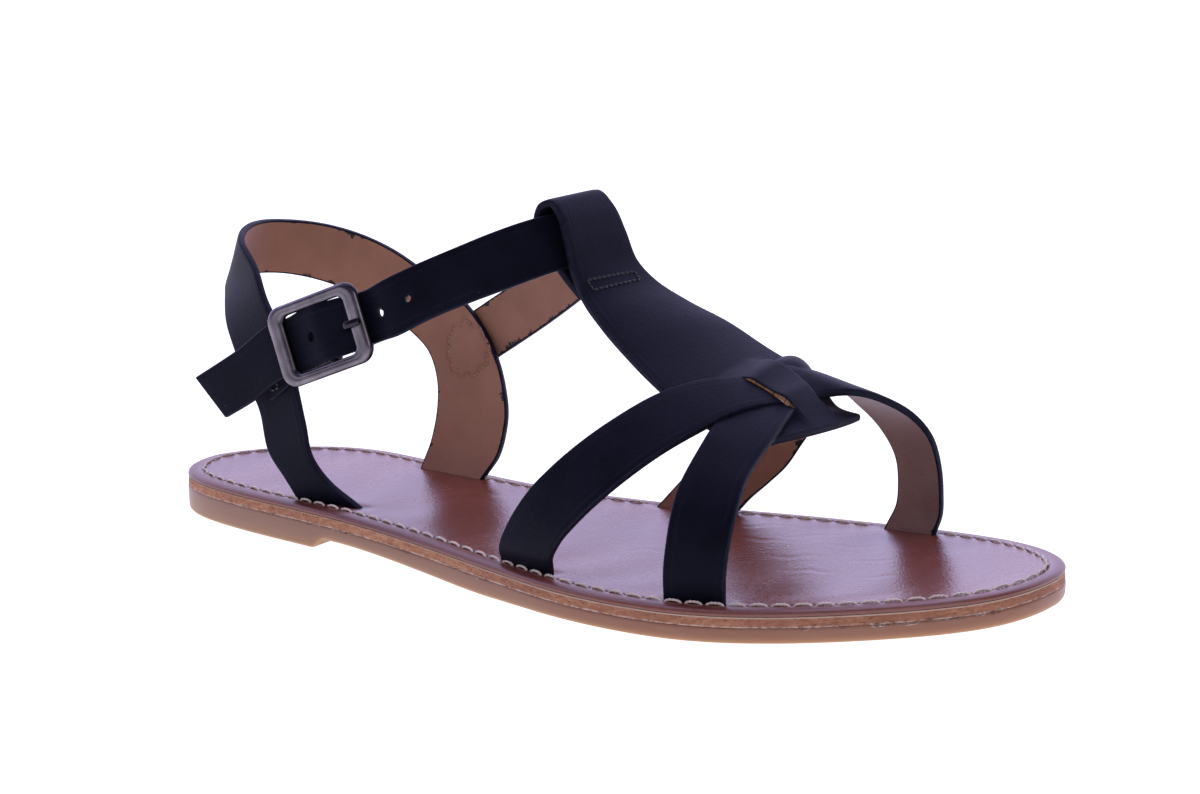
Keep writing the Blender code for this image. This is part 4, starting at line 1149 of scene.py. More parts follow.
def t_mesh(sections):
    """Points, faces, looks and lay marks of the T-strap."""
    points, lay, faces, looks, rows = [], [], [], [], []
    end_gap = sections.from_end()
    drops = corner_drop(end_gap)

    def add(point, mark):
        points.append(point)
        lay.append(mark)
        return len(points) - 1

    def wall_of(row, part, side):
        return [row["top"][part][side], *row["walls"][part, side], row["low"][part][side]]

    for i, reach in enumerate(sections.reach):
        width, out, across = sections.width[i], sections.out[i], sections.across[i]
        under = LEATHER - 0.5 * drops[i]
        at_x = (sections.first[i][0] + sections.second[i][0]) / 2.0
        at_x = at_x + TAIL_BULGE * max(0.0, 1.0 - reach / TAIL_REACH) ** 2
        opened = slit_opening(at_x) if reach < FRONT_LEAF else 0.0
        corner = CORNER * opened
        places = t_places(width, SLIT_OPEN * width * opened, corner)
        row = {"slit": opened > 0.0, "top": [], "low": [], "walls": {}}
        for part, line in enumerate(places):
            tops, lows = [], []
            for n, s in enumerate(line):
                if part and n == 0 and not row["slit"]:
                    tops.append(row["top"][part - 1][-1])
                    lows.append(row["low"][part - 1][-1])
                    continue
                edge = min(s, width - s, end_gap[i] + END_MARGIN)
                face = t_surface(sections, i, s, part)
                tops.append(add(face + out * (face_relief(edge) - drops[i]), (reach, s, edge)))
                lows.append(add(face - out * under, (reach, s, edge)))
            row["top"].append(tops)
            row["low"].append(lows)
        for part, side in WALLS:
            at = places[part][side]
            aside = across * (-1.0 if side == 0 else 1.0)
            is_outer = (part, side) in OUTER_WALLS
            size = CORNER if is_outer else corner
            face = t_surface(sections, i, at, part)
            sink = (face_relief(min(at, width - at)) if is_outer else 0.0) - drops[i]
            wall = []
            for angle in WALL:
                over, down = size * math.cos(math.pi / 2 - angle), size * (1.0 - math.cos(angle))
                wall.append(add(face + aside * over + out * (sink - down), (reach, at, 0.0)))
            for angle in WALL[::-1]:
                over = size * (1.0 - UNDER_CORNER * (1.0 - math.sin(angle)))
                down = under - UNDER_CORNER * size * (1.0 - math.cos(angle))
                wall.append(add(face + aside * over - out * down, (reach, at, 1.0)))
            row["walls"][part, side] = wall
        rows.append(row)
    for i, (one, two) in enumerate(zip(rows, rows[1:])):
        folded = sections.reach[i] > FRONT_LEAF
        for part in range(3):
            for side, look in (("top", OUTER), ("low", INNER)):
                made = quads(one[side][part], two[side][part], look != OUTER)
                faces += made
                # Painted shade: past the fold the lining faces wear the strap leather, so the
                # inside of the loop shows dark.
                looks += [OUTER if folded else look] * len(made)
        for part, side in WALLS:
            is_outer = (part, side) in OUTER_WALLS
            if not (is_outer or one["slit"] or two["slit"]):
                continue
            made = quads(wall_of(one, part, side), wall_of(two, part, side), side == 0)
            faces += made
            raw = 0 if is_outer else len(made) - SLIT_PAINT
            looks += [EDGE] * (len(made) - raw) + [RAW] * raw
    for row, flip in ((rows[0], False), (rows[-1], True)):
        before = len(faces)
        for part in range(3):
            a, b = row["top"][part], row["low"][part]
            for n in range(len(a) - 1):
                face = (a[n], b[n], b[n + 1], a[n + 1])
                faces.append(face[::-1] if flip else face)
        for part, side in OUTER_WALLS:
            wall = wall_of(row, part, side)
            faces.append(wall if (side == 0) == flip else wall[::-1])
        looks += [EDGE] * (len(faces) - before)
    used = sorted({index for face in faces for index in face})
    renumber = {old: new for new, old in enumerate(used)}
    faces = [tuple(renumber[index] for index in face) for face in faces]
    return np.array(points)[used], faces, looks, np.array(lay)[used]


t_sections = Sections(T_ROWS, spacing=0.0007, trims=(FACE_TRIM, 0.0), ends=(True, True))
points, faces, looks, lay = t_mesh(t_sections)
piece("t_strap", points, faces, SHEET_FINISHES, "strap", ("front_upper",), looks, lay)

# %% [markdown]
# ## Back strap
# One strap wraps the heel. It leans back behind the heel and falls forward to the footbed on
# both sides, wider on the inner side. Near its inner end the ankle strap is sewn on with a
# rosette: thread drawn round a scalloped ring, which pulls the lining in a little.

# %% Back strap
ROSETTE_REACH = 0.1643
ROSETTE_SHARE = 0.635
ROSETTE_RADIUS = 0.0060
ROSETTE_SCALLOPS = 10
ROSETTE_WAVE = 0.00100
ROSETTE_GROOVE = 0.00042
ROSETTE_SWELL = 0.00022

back_sections = Sections(BACK_ROWS)
rosette_width = back_sections.width[nearest(back_sections.reach, ROSETTE_REACH)]


def rosette_radius(angle):
    """Radius of the scalloped seam line at an angle round its centre."""
    return ROSETTE_RADIUS + ROSETTE_WAVE * np.abs(np.cos(angle * ROSETTE_SCALLOPS / 2.0))


def rosette_press(reach, share):
    """How far the lining is drawn in along the scalloped seam, and swells inside it."""
    along = reach - ROSETTE_REACH
    aside = (share - ROSETTE_SHARE) * rosette_width
    angle = np.arctan2(aside, along)
    gap = np.hypot(along, aside) - rosette_radius(angle)
    groove = ROSETTE_GROOVE * np.exp(-((gap / 0.00045) ** 2))
    return groove - ROSETTE_SWELL * (gap < 0) * (1.0 - np.exp(-((gap / 0.0006) ** 2)))


back_mesh = StrapMesh(Sections(BACK_ROWS, spacing=0.0005), middle=40, press=rosette_press)
back_mesh.make("back_strap_dressed", "back_strap")

# %% [markdown]
# ## The buckle's own axes
# The buckle lies tilted on the ankle. All its pieces, and the stretch of strap inside it, are
# drawn in the buckle's own axes: along, up and out. Three turns and a centre place them all.

# %% Buckle axes
BUCKLE_CENTRE = (0.0680, -0.0346, 0.0566)
BUCKLE_SLOPE = math.radians(21.6)
BUCKLE_TURN = math.radians(6.0)
BUCKLE_LEAN = math.radians(-6.0)
FRAME_LONG = 0.0284
FRAME_TALL = 0.0206
FRAME_THICK = 0.0024
SIDE_BAR = 0.0048
EDGE_BAR = 0.0029
BAR_DEPTH = 0.0036
BAR_RADIUS = 0.0006
BAR_BEND = 0.0009
FRAME_CORNER = 0.0042
FRAME_INNER_CORNER = 0.0018


def buckle_axes():
    level, rise = math.cos(BUCKLE_SLOPE), math.sin(BUCKLE_SLOPE)
    along = Vector((level * math.cos(BUCKLE_TURN), level * math.sin(BUCKLE_TURN), rise))
    side = Vector((math.sin(BUCKLE_TURN), -math.cos(BUCKLE_TURN), 0.0))
    up = side.cross(along)
    side = along.cross(up)
    up = up * math.cos(BUCKLE_LEAN) + side * math.sin(BUCKLE_LEAN)
    return np.array((along, up, along.cross(up)))


AXES = buckle_axes()


def in_buckle(places):
    """Points given as along, up, out in the buckle's axes, in the shoe's."""
    return np.array(BUCKLE_CENTRE) + np.asarray(places, float) @ AXES


print("buckle leans", round(math.degrees(BUCKLE_LEAN)), "degrees")

# %% [markdown]
# ## Ankle strap
# The strap comes from the inner side, passes through the loop of the T-strap, over the
# buckle's centre bar and out to a free tail. It has a row of small punched holes. A hole is
# not painted on: faces are taken out of both sides of the strap and its raw wall is built.

# %% Ankle strap with punched holes
# Place in percent of the length, radius, stretch along the strap, faces opened to each side
HOLES = (
    (26.0, 0.00120, 1.0, 3),
    (33.5, 0.00125, 1.0, 3),
    (36.6, 0.00080, 1.0, 3),
    (29.9, 0.00088, 1.2, 4),
)


def ankle_rows():
    """The ankle strap's rows: tail, buckle and ring, in metres."""
    rows = table(ANKLE_TAIL)
    for _, along, side, out, half in BUCKLE_PATH:
        upper, lower = in_buckle([(along, side + half, out), (along, side - half, out)])
        rows.append([*upper, *lower, 0.0])
    return rows + table(ANKLE_RING)


ankle_sections = Sections(ankle_rows(), ends=(True, True))
ankle_mesh = StrapMesh(ankle_sections, ANKLE_LEATHER)
middle_x = (ankle_sections.first[:, 0] + ankle_sections.second[:, 0]) / 2.0
outer_half = middle_x[: len(middle_x) // 2]
for place, radius, stretch, half in HOLES:
    at = nearest(outer_half, place / 100.0 * LENGTH)
    ankle_mesh.punch(at, ankle_mesh.columns // 2, radius, stretch, half)
ankle_mesh.make("ankle_strap_dressed", "ankle_strap")

# %% [markdown]
# ## Pewter finish and the buckle frame
# The buckle is die-cast and plated in a dark pewter. The plating is satin: fine brush lines, a
# few darker clouds and patches of patina. Painted shade darkens the bars low down and where
# they turn away. The bars are bowed, not flat, so the frame's section is a soft oval and the
# light rolls over it.

# %% Pewter


def pewter_finish():
    made = Finish("pewter_plating", Metallic=1.0)
    spot = made.place()
    run, share, level = made.mark("lay")
    brush = made.noise(made.join(run * 0.03, share * 0.010, level * 0.006), 0.00030, 2.0, 0.5)
    cloud = made.noise(spot, 0.0045, 3.0, 0.55)
    patina = made.noise(spot, 0.0100, 2.0, 0.5).ramp(0.50, 0.66)
    centre = BUCKLE_CENTRE[0] + PLACE[0]
    forward = made.split(spot, "X").ramp(centre - 0.002, centre + 0.002)
    turned = forward * (1.0 - share.ramp(0.05, 0.15)) + (1.0 - forward) * share.ramp(0.82, 0.92)
    colour = made.coats(
        made.blend(cloud.ramp(0.35, 0.68), (0.150, 0.132, 0.155), (0.215, 0.190, 0.222)),
        (patina * 0.45, (0.070, 0.072, 0.074)),
        # Painted shade: darker low on each bar and where the bars turn away.
        ((1.0 - level.ramp(-0.05, 0.34)) * 0.85, METAL_SHADE),
        (turned * 0.80, METAL_SHADE),
    )
    made.wear(Base_Color=colour, Roughness=0.21 + 0.08 * cloud + 0.03 * brush)
    return made.emboss((brush, 0.000002))


METAL_SHADE = (0.030, 0.026, 0.034)
PEWTER = pewter_finish()


def rounded_rectangle(long, tall, radius, steps=12):
    corners = []
    for index, (sx, sy) in enumerate(((1, 1), (-1, 1), (-1, -1), (1, -1))):
        for step in range(steps):
            turn = math.pi / 2.0 * (index + step / (steps - 1))
            x = sx * (long / 2.0 - radius) + radius * math.cos(turn)
            y = sy * (tall / 2.0 - radius) + radius * math.sin(turn)
            corners.append((x, y))
    return np.array(corners)


SQUARENESS = 0.80
FULLNESS = 0.86
GROOVE = (0.06, 0.55, 0.16)


def oval(steps):
    """Section of a bar, grooved on top: share of the way inward, height in thicknesses."""
    section = []
    for step in range(steps):
        turn = 2.0 * math.pi * step / steps
        x, y = math.cos(turn), math.sin(turn)
        share = 0.5 - 0.5 * math.copysign(abs(x) ** SQUARENESS, x)
        deep, middle, wide = GROOVE
        groove = deep * math.exp(-(((share - middle) / wide) ** 2)) if y > 0.0 else 0.0
        section.append((share, 0.5 * math.copysign(abs(y) ** FULLNESS, y) - groove))
    return section


def buckle_frame():
    inner_long, inner_tall = FRAME_LONG - 2.0 * SIDE_BAR, FRAME_TALL - 2.0 * EDGE_BAR
    outer = rounded_rectangle(FRAME_LONG, FRAME_TALL, FRAME_CORNER)
    inner = rounded_rectangle(inner_long, inner_tall, FRAME_INNER_CORNER)
    section = oval(28)
    run, _ = around(outer)
    same = np.ones(len(outer))
    places, lay = [], []
    for share, level in section:
        flat = outer + (inner - outer) * share
        places.append(np.column_stack((flat, same * (level * FRAME_THICK))))
        lay.append(np.column_stack((run, same * share, same * level)))
    faces = grid_faces(len(section), len(outer), True)
    return in_buckle(np.vstack(places)), faces, np.vstack(lay)


ASKEW = (0.31, 0.52, 0.80)


def tube(path, radius, sides=10):
    """A round tube along a path of points, closed at both ends."""
    path = np.asarray(path, float)
    run = unit(np.gradient(path, axis=0))
    aside = unit(np.cross(run[0], ASKEW))
    points = []
    turns = np.linspace(0.0, 2.0 * math.pi, sides, endpoint=False)
    for spot, way in zip(path, run):
        aside = unit(aside - way * np.dot(aside, way))
        ring = np.outer(np.cos(turns), aside) + np.outer(np.sin(turns), np.cross(way, aside))
        points.append(spot + radius * ring)
    last = (len(path) - 1) * sides
    ends = [tuple(range(sides))[::-1], tuple(range(last, last + sides))]
    return np.vstack(points), grid_faces(len(path), sides) + ends


def centre_bar_path():
    """Down one lug, across behind the strap and up the other, with rounded bends."""
    reach, bend = (FRAME_TALL - EDGE_BAR) / 2.0, BAR_BEND
    path = [(0.0, -reach, 0.0), (0.0, -reach, -BAR_DEPTH + bend)]
    for step in range(1, 6):
        turn = math.pi / 2.0 * step / 5
        over, down = bend * (1 - math.cos(turn)), bend * (1 - math.sin(turn))
        path.append((0.0, -reach + over, -BAR_DEPTH + down))
    return in_buckle(path + [(0.0, -up, out) for _, up, out in path[::-1]])


def metal_piece(name, points, faces, replaces, **looks):
    return outward(piece(name, points, faces, (PEWTER,), "metal", (replaces,), **looks))


points, faces, lay = buckle_frame()
metal_piece("buckle_frame_dressed", points, faces, "buckle_frame", lay=lay, sharp=80.0)
metal_piece("buckle_bar", *tube(centre_bar_path(), BAR_RADIUS), "buckle_frame")

# %% [markdown]
# ## Prong and tab
# The prong is a small folded strip of the same metal. It curls round the centre bar, comes up
# through its hole and lies on the front bar. The tab is a thin strip of the strap's leather
# that holds the centre bar: it curls round it, with a notch that leaves room for the prong.

# %% Prong and tab
CURL = 0.0009
PRONG_LEVEL = -0.0003
PRONG_THICK = 0.0009
PRONG_CURL = (100.0, 360.0)
PRONG_CURL_HALF = 0.0012
PRONG_PATH = (
    ("under the strap", 0.0032, -0.0037, 0.0020),
    ("before the hole", 0.0056, -0.0033, 0.0018),
    ("in the hole", 0.0071, -0.0013, 0.0017),
    ("above the strap", 0.0081, 0.0011, 0.0017),
    ("before the bar", 0.0092, 0.0020, 0.0018),
    ("on the bar", 0.0116, 0.0021, 0.0018),
    ("tip", 0.0134, 0.0019, 0.0016),
)
TAB_PATH = (
    ("rear end", -0.0260, -0.00850, -0.0102, 0.0060),
    ("stitched end", -0.0235, -0.00795, -0.0098, 0.0064),
    ("rear", -0.0200, -0.00705, -0.0090, 0.0066),
    ("middle", -0.0165, -0.00630, -0.0080, 0.0066),
    ("under the rear bar", -0.0120, -0.00530, -0.0072, 0.0066),
    ("before the curl", -0.0040, -0.00500, -0.0068, 0.0066),
)
TAB_LOW = -0.0068
TAB_HIGH = 0.0066
TAB_CURL = (-90.0, 120.0)
TAB_RETURN = ((-0.0030, -0.0032), (-0.0048, -0.0038))
NOTCH_AT = 0.0010
NOTCH_SIZE = (0.0068, 0.0034, 0.0060)
CURL_REACH = BAR_RADIUS + GAP + CURL / 2.0


def curl(start, end, low, high, steps=15):
    """Rows of a strip curled round the centre bar, between two angles in degrees."""
    made = []
    for turn in np.radians(np.linspace(start, end, steps)):
        out = -BAR_DEPTH + CURL_REACH * math.sin(turn)
        made.append((CURL_REACH * math.cos(turn), out, low, high))
    return made


BENT_CORNER = 0.00022
BENT_END = 0.72


def bent_bar(rows, thickness, count=60):
    """A strip bent in one plane with softly rounded corners."""
    rows, corner = np.array(rows, float), BENT_CORNER
    along = travelled(rows[:, :2])
    wanted = np.linspace(0, along[-1], count)
    rows = hermite(along, rows, np.gradient(rows, along, axis=0), wanted)
    normal = left_of(unit(np.gradient(rows[:, :2], axis=0)))
    places = []
    for n, ((x, out, low, high), (nx, no)) in enumerate(zip(rows, normal)):
        last = n in (0, count - 1)
        half, trim = thickness / 2.0 * (BENT_END if last else 1.0), corner if last else 0.0
        for level, up in (
            (half, low + corner), (half, high - corner), (half - corner, high - trim),
            (corner - half, high - trim), (-half, high - corner), (-half, low + corner),
            (corner - half, low + trim), (half - corner, low + trim),
        ):
            places.append((x + nx * level, up, out + no * level))
    ends = [tuple(range(8))[::-1], tuple(range(8 * count - 8, 8 * count))]
    return in_buckle(places), grid_faces(count, 8) + ends


prong_rows = curl(*PRONG_CURL, PRONG_LEVEL - PRONG_CURL_HALF, PRONG_LEVEL + PRONG_CURL_HALF)
for _, along, out, width in PRONG_PATH:
    prong_rows.append((along, out, PRONG_LEVEL - width / 2.0, PRONG_LEVEL + width / 2.0))
points, faces = bent_bar(prong_rows, PRONG_THICK)
metal_piece("buckle_prong_dressed", points, faces, "buckle_prong", sharp=50.0)


def strap_rows(path, thickness):
    """Edge rows of a strip drawn by the middle of its thickness, in the buckle's axes."""
    path = np.array(path, float)
    face = path[:, :2] + left_of(unit(np.gradient(path[:, :2], axis=0))) * thickness / 2.0
    upper, lower = [
        in_buckle(np.column_stack((face[:, 0], path[:, edge], face[:, 1]))) for edge in (3, 2)
    ]
    return [[*one, *two, 0.0] for one, two in zip(upper, lower)]


def cut_away(obj, points, faces):
    """Cuts a helper of the given points and faces out of a piece and keeps the result."""
    mesh = bpy.data.meshes.new("cutter")
    mesh.from_pydata((np.asarray(points) + PLACE).tolist(), [], faces)
    cutter = outward(show("cutter", mesh))
    modifier = obj.modifiers.new("cut", "BOOLEAN")
    modifier.object = cutter
    modifier.operation = "DIFFERENCE"
    graph = bpy.context.evaluated_depsgraph_get()
    made = bpy.data.meshes.new_from_object(obj.evaluated_get(graph))
    obj.modifiers.clear()
    obj.data = made
    bpy.data.objects.remove(cutter)


HALVES = np.array((-0.5, 0.5))
BOX_FACES = [(0, 2, 3, 1), (4, 5, 7, 6), (0, 1, 5, 4), (2, 6, 7, 3), (0, 4, 6, 2), (1, 3, 7, 5)]
tab_path = [row[1:] for row in TAB_PATH]
tab_path += curl(*TAB_CURL, TAB_LOW, TAB_HIGH)
tab_path += [(*row, TAB_LOW, TAB_HIGH) for row in TAB_RETURN]
tab_mesh = StrapMesh(Sections(strap_rows(tab_path, CURL), spacing=0.0005), CURL)
tab = tab_mesh.make("buckle_tab_dressed", "buckle_tab", (STRAP, PAINT, STRAP, CORE))
box = np.array([(a, b, c) for c in HALVES for b in HALVES for a in HALVES]) * NOTCH_SIZE
cut_away(tab, in_buckle(box + (NOTCH_AT, PRONG_LEVEL, -BAR_DEPTH)), BOX_FACES)
print("tab faces after the notch:", len(tab.data.polygons))

# %% [markdown]
# ## Thread
# Stitches are two plies twisted together. Each is a short arc that rises out of one needle hole
# and dives into the next, so it is made as two thin tubes winding round one bent line. Thousands
# of copied pieces would be heavy, so every seam is one mesh.

# %% Stitches


def thread_finish(name, colour, deep):
    made = Finish(name, Sheen_Weight=0.30)
    spot = made.place()
    fuzz = made.noise(spot, 0.00022, 3.0, 0.7)
    soil = made.noise(spot, 0.0090, 3.0, 0.6)
    shade = made.blend(fuzz.ramp(0.35, 0.7) * 0.7 + soil.ramp(0.5, 0.8) * 0.3, colour, deep)
    made.wear(Base_Color=shade, Roughness=0.6 + 0.2 * fuzz)
    return made.emboss((fuzz, 0.00002))


PLY_AWAY = 0.42
PLY_THICK = 0.64


def twisted(start, end, up, radius, rise, dip, steps=7, turns=0.8, bow=0.0):
    """Two plies of one stitch, from needle hole to needle hole."""
    share = np.linspace(0.0, 1.0, steps)
    way = unit(end - start)
    side = unit(np.cross(up, way))
    away = np.abs(2.0 * share - 1.0)
    height = rise - (rise + dip) * away**4
    line = start + (end - start) * share[:, None] + up * height[:, None]
    line = line + side * (bow * (1.0 - away**2))[:, None]
    plies = []
    for ply in (0.0, math.pi):
        angle = 2.0 * math.pi * turns * share + ply
        swing = np.cos(angle)[:, None] * side + np.sin(angle)[:, None] * up
        plies.append(tube(line + swing * radius * PLY_AWAY, radius * PLY_THICK, 6))
    return gathered(plies)


def seam(name, stitches, finish, slot, radius, rise, dip=0.0004, **looks):
    """One mesh from stitches given as (start, end, up)."""
    points, faces = gathered(twisted(*ends, radius, rise, dip, **looks) for ends in stitches)
    return piece(name, points, faces, (finish,), slot, sharp=80.0)


CREAM = thread_finish("cream_thread", (0.950, 0.850, 0.740), (0.760, 0.610, 0.490))
DARK = thread_finish("navy_thread", (0.0100, 0.0090, 0.0150), (0.0050, 0.0045, 0.0080))
TAN = thread_finish("tan_thread", (0.520, 0.320, 0.230), (0.330, 0.180, 0.120))


def follow(line, at, knots):
    """The point at a distance along a line whose points lie at the knots' distances."""
    return np.array([np.interp(at, knots, values) for values in np.transpose(line)])


def seam_line(places, stitch, pause):
    """Cuts a line of (point, up) places into stitches of even length."""
    spots, ups = [np.array(values) for values in zip(*places)]
    along = travelled(spots)
    count = max(1, round(along[-1] / (stitch + pause)))
    pitch = along[-1] / count
    made = []
    for n in range(count):
        ends = (n + 0.5) * pitch + HALVES * pitch * stitch / (stitch + pause)
        start, end = [follow(spots, at, along) for at in ends]
        made.append((start, end, unit(follow(ups, ends.mean(), along))))
    return made


def between(corners, count):
    """Points along the straight lines that join the corners."""
    corners = np.array(corners, float)
    for one, two in zip(corners, corners[1:]):
        for part in np.linspace(0.0, 1.0, count):
            yield one + (two - one) * part


def t_spot(sections, reach, share):
    i = nearest(sections.reach, reach)
    return t_surface(sections, i, share * sections.width[i], 0 if share < 0.5 else 2)


seam_box = ((0.0640, 0.13), (0.0640, 0.78), (0.0663, 0.80), (0.0663, 0.11), (0.0640, 0.13))
loop_places = [
    (t_spot(t_sections, reach, share), t_sections.at(reach, share)[1])
    for reach, share in between(seam_box, 12)
]
loop_stitches = seam_line(loop_places, 0.00125, 0.00040)
seam("loop_seam", loop_stitches, DARK, "strap", 0.00030, 0.00010)
THREAD_SUNK = 0.00028
rosette = []
for angle in np.linspace(0.0, 2.0 * math.pi, 241):
    radius = rosette_radius(angle)
    reach = ROSETTE_REACH + radius * math.cos(angle)
    share = ROSETTE_SHARE + radius * math.sin(angle) / rosette_width
    point, out = back_sections.at(reach, share)
    rosette.append((point - out * (LEATHER - THREAD_SUNK), -out))
rosette_stitches = seam_line(rosette, 0.00105, 0.00035)
seam("rosette_seam", rosette_stitches, TAN, "strap", 0.00020, 0.00010, 0.0003)


def tab_spot(along, up):
    """A place on the outer face of the tab, which slopes gently there."""
    out = np.interp(along, [row[1] for row in TAB_PATH], [row[2] for row in TAB_PATH])
    return in_buckle([(along, up, out + CURL / 2.0)])[0], AXES[2]


TAB_BACK, TAB_FRONT, TAB_UNDER = -0.0246, -0.0218, -0.0080
tab_box = (
    (TAB_BACK, TAB_UNDER), (TAB_BACK, 0.0044), (TAB_FRONT, 0.0046), (TAB_FRONT, TAB_UNDER),
    (TAB_BACK, TAB_UNDER),
)
tab_stitches = seam_line([tab_spot(*spot) for spot in between(tab_box, 10)], 0.00120, 0.00040)
seam("tab_seam", tab_stitches, DARK, "strap", 0.00026, 0.00012)

# %% [markdown]
# ## Footbed
# The footbed is a waxed red-brown leather with a turned border. A line of thick cream thread
# holds it to the board about 4 mm in from the edge, and pulls a shallow channel there. Wear and
# lasting leave soft creases across the forepart. The leather is pressed down where each strap
# passes through its slot. Painted shade darkens the border, the stitch channel, the needle holes
# and the leather round each slot.

# %% Footbed finish
STITCH_INSET = 0.0041
STITCH_PITCH = 0.0050
STITCH_SHARE = 0.0043 / STITCH_PITCH


def footbed_finish(pitch):
    """Red-brown waxed leather, with painted shade on its border, along its stitch channel, in its
    needle holes and round the strap slots.
    """
    made = Finish("footbed_leather", Specular_IOR_Level=0.88)
    spot = made.place()
    run, inset, press = made.mark("lay")
    pull = made.noise(made.stretch(spot, 1.6, 0.8, 1.0), 0.0130, 3.0, 0.5)
    cloud = made.noise(made.stretch(spot, 1.0, 0.6, 1.0), 0.0350, 4.0, 0.6)
    mottle = made.noise(spot, 0.0032, 5.0, 0.7)
    grain = made.cells(spot, 0.00052, "SMOOTH_F1")
    lines = made.noise(made.stretch(spot, 3.2, 0.8, 1.0), 0.0050, 2.0, 0.4).near(0.5, 0.035)
    border = 1.0 - inset.ramp(0.0012, 0.0042)
    phase = (run * (1.0 / pitch)).math("FRACT")
    holes = []
    for centre in (0.5 - 0.5 * STITCH_SHARE, 0.5 + 0.5 * STITCH_SHARE):
        gap = (phase - centre).math("ABSOLUTE") * pitch
        away = gap * gap + (inset - STITCH_INSET) * (inset - STITCH_INSET)
        holes.append(1.0 - away.math("SQRT").ramp(0.00020, 0.00060))
    hole = holes[0].math("MAXIMUM", holes[1])
    red, deep, light = (0.235, 0.062, 0.036), (0.165, 0.040, 0.026), (0.310, 0.095, 0.056)
    colour = made.coats(
        made.blend(cloud.ramp(0.32, 0.68), deep, red),
        (mottle.ramp(0.50, 0.78) * 0.30, light),
        (pull.ramp(0.55, 0.75) * 0.35, deep),
        # Painted shade: darker on the border, along the stitch channel, in the needle holes and
        # round each strap slot.
        (border * 0.50, (0.130, 0.026, 0.020)),
        (inset.near(STITCH_INSET, 0.0011) * 0.35, (0.080, 0.020, 0.014)),
        (hole * 0.9, (0.012, 0.004, 0.003)),
        (press.ramp(0.05, 0.9) * 0.8, (0.020, 0.006, 0.006)),
    )
    rough = 0.205 + 0.06 * mottle + 0.06 * cloud + 0.12 * border + 0.25 * hole
    made.wear(Base_Color=colour, Roughness=rough)
    return made.emboss(
        (pull, 0.00009),
        (lines * cloud.ramp(0.35, 0.6), 0.000004),
        (grain, 0.000060),
        (mottle, 0.000008),
        (1.0 - hole, 0.00030),
    )


# %% Footbed mesh
STITCH_RUN, STITCH_TOTAL = around(inset_loop(STITCH_INSET))
STITCH_COUNT = round(STITCH_TOTAL / STITCH_PITCH)
TRUE_PITCH = STITCH_TOTAL / STITCH_COUNT
cover_rings = rings(
    cover_bottom,
    (0.00100, -0.00012), (0.00034, -0.00010), (0.00016, 0.00004), (0.00010, 0.00040),
    (0.00018, 0.00074), (0.00040, 0.00104), (0.00080, 0.00124), (0.00135, 0.00136),
    (0.00200, 0.00143), (0.00270, 0.00148),
)
TOP_INSETS = np.array((3.2, 3.5, 3.8, 4.1, 4.4, 4.7, 5.1, 5.7, 6.5, 7.5, 8.8)) / 1000.0
cover_rings += [(inset, cover_top) for inset in TOP_INSETS]
points, faces, lay = layer_mesh(cover_rings, 110)
ring_points = len(cover_rings) * len(LOOP)


def foot_lines():
    """Ground line of each strap foot, and the way inward from its outer face."""
    made = []
    for rows in (OUTER_ROWS, INNER_ROWS, BACK_ROWS):
        for row, side in ((rows[0], 1.0), (rows[-1], -1.0)):
            rear, front = np.array(row[0:2]), np.array(row[3:5])
            across = unit(front - rear)
            made.append((rear, front, -side * np.array((across[1], -across[0]))))
    return made


# Both ends of each crease, its depth and its reach to either side
CREASES = (
    (0.1560, 0.0170, 0.1690, 0.0260, 0.00010, 0.0011),
    (0.1600, 0.0070, 0.1740, 0.0120, 0.00008, 0.0013),
    (0.1700, 0.0140, 0.1830, 0.0240, 0.00010, 0.0010),
    (0.1760, -0.0030, 0.1900, 0.0040, 0.00009, 0.0014),
    (0.1800, 0.0110, 0.1960, 0.0170, 0.00007, 0.0012),
    (0.1850, -0.0120, 0.1990, -0.0080, 0.00009, 0.0013),
    (0.1950, 0.0010, 0.2090, 0.0080, 0.00008, 0.0011),
    (0.1450, -0.0160, 0.1580, -0.0080, 0.00008, 0.0014),
    (0.1400, 0.0050, 0.1520, 0.0130, 0.00007, 0.0012),
    (0.2050, -0.0110, 0.2170, -0.0060, 0.00007, 0.0012),
    (0.1050, -0.0100, 0.1180, -0.0050, 0.00006, 0.0016),
    (0.0820, 0.0050, 0.0960, 0.0080, 0.00005, 0.0015),
)


def crease_depth(spots):
    """Soft troughs with a low ridge on either side, as worn leather has."""
    depth = np.zeros(len(spots))
    for x0, y0, x1, y1, deep, wide in CREASES:
        start, way = np.array((x0, y0)), np.array((x1 - x0, y1 - y0))
        share = np.clip((spots - start) @ way / (way @ way), 0.0, 1.0)
        bow = 0.0007 * np.sin(share * 3.0 * math.pi + x0 * 900.0)
        side = unit(np.array((-way[1], way[0])))
        gap = np.linalg.norm(spots - start - share[:, None] * way - bow[:, None] * side, axis=1)
        fade = np.sin(math.pi * np.clip(share, 0.02, 0.98)) ** 0.7
        trough = np.exp(-((gap / wide) ** 2)) - 0.5 * np.exp(-(((gap - 1.9 * wide) / wide) ** 2))
        depth += 0.5 * deep * fade * trough
    return depth


def slot_gap(spots):
    """Distance from each spot to the nearest strap foot, 0 inside the foot."""
    gaps = np.full(len(spots), 1.0)
    for rear, front, inward in foot_lines():
        along, depth = (spots - rear) @ unit(front - rear), (spots - rear) @ inward
        long = np.linalg.norm(front - rear)
        beyond = np.maximum(np.maximum(-along, along - long), 0.0)
        aside = np.maximum(np.maximum(-depth, depth - LEATHER), 0.0)
        gaps = np.minimum(gaps, np.hypot(beyond, aside))
    return gaps


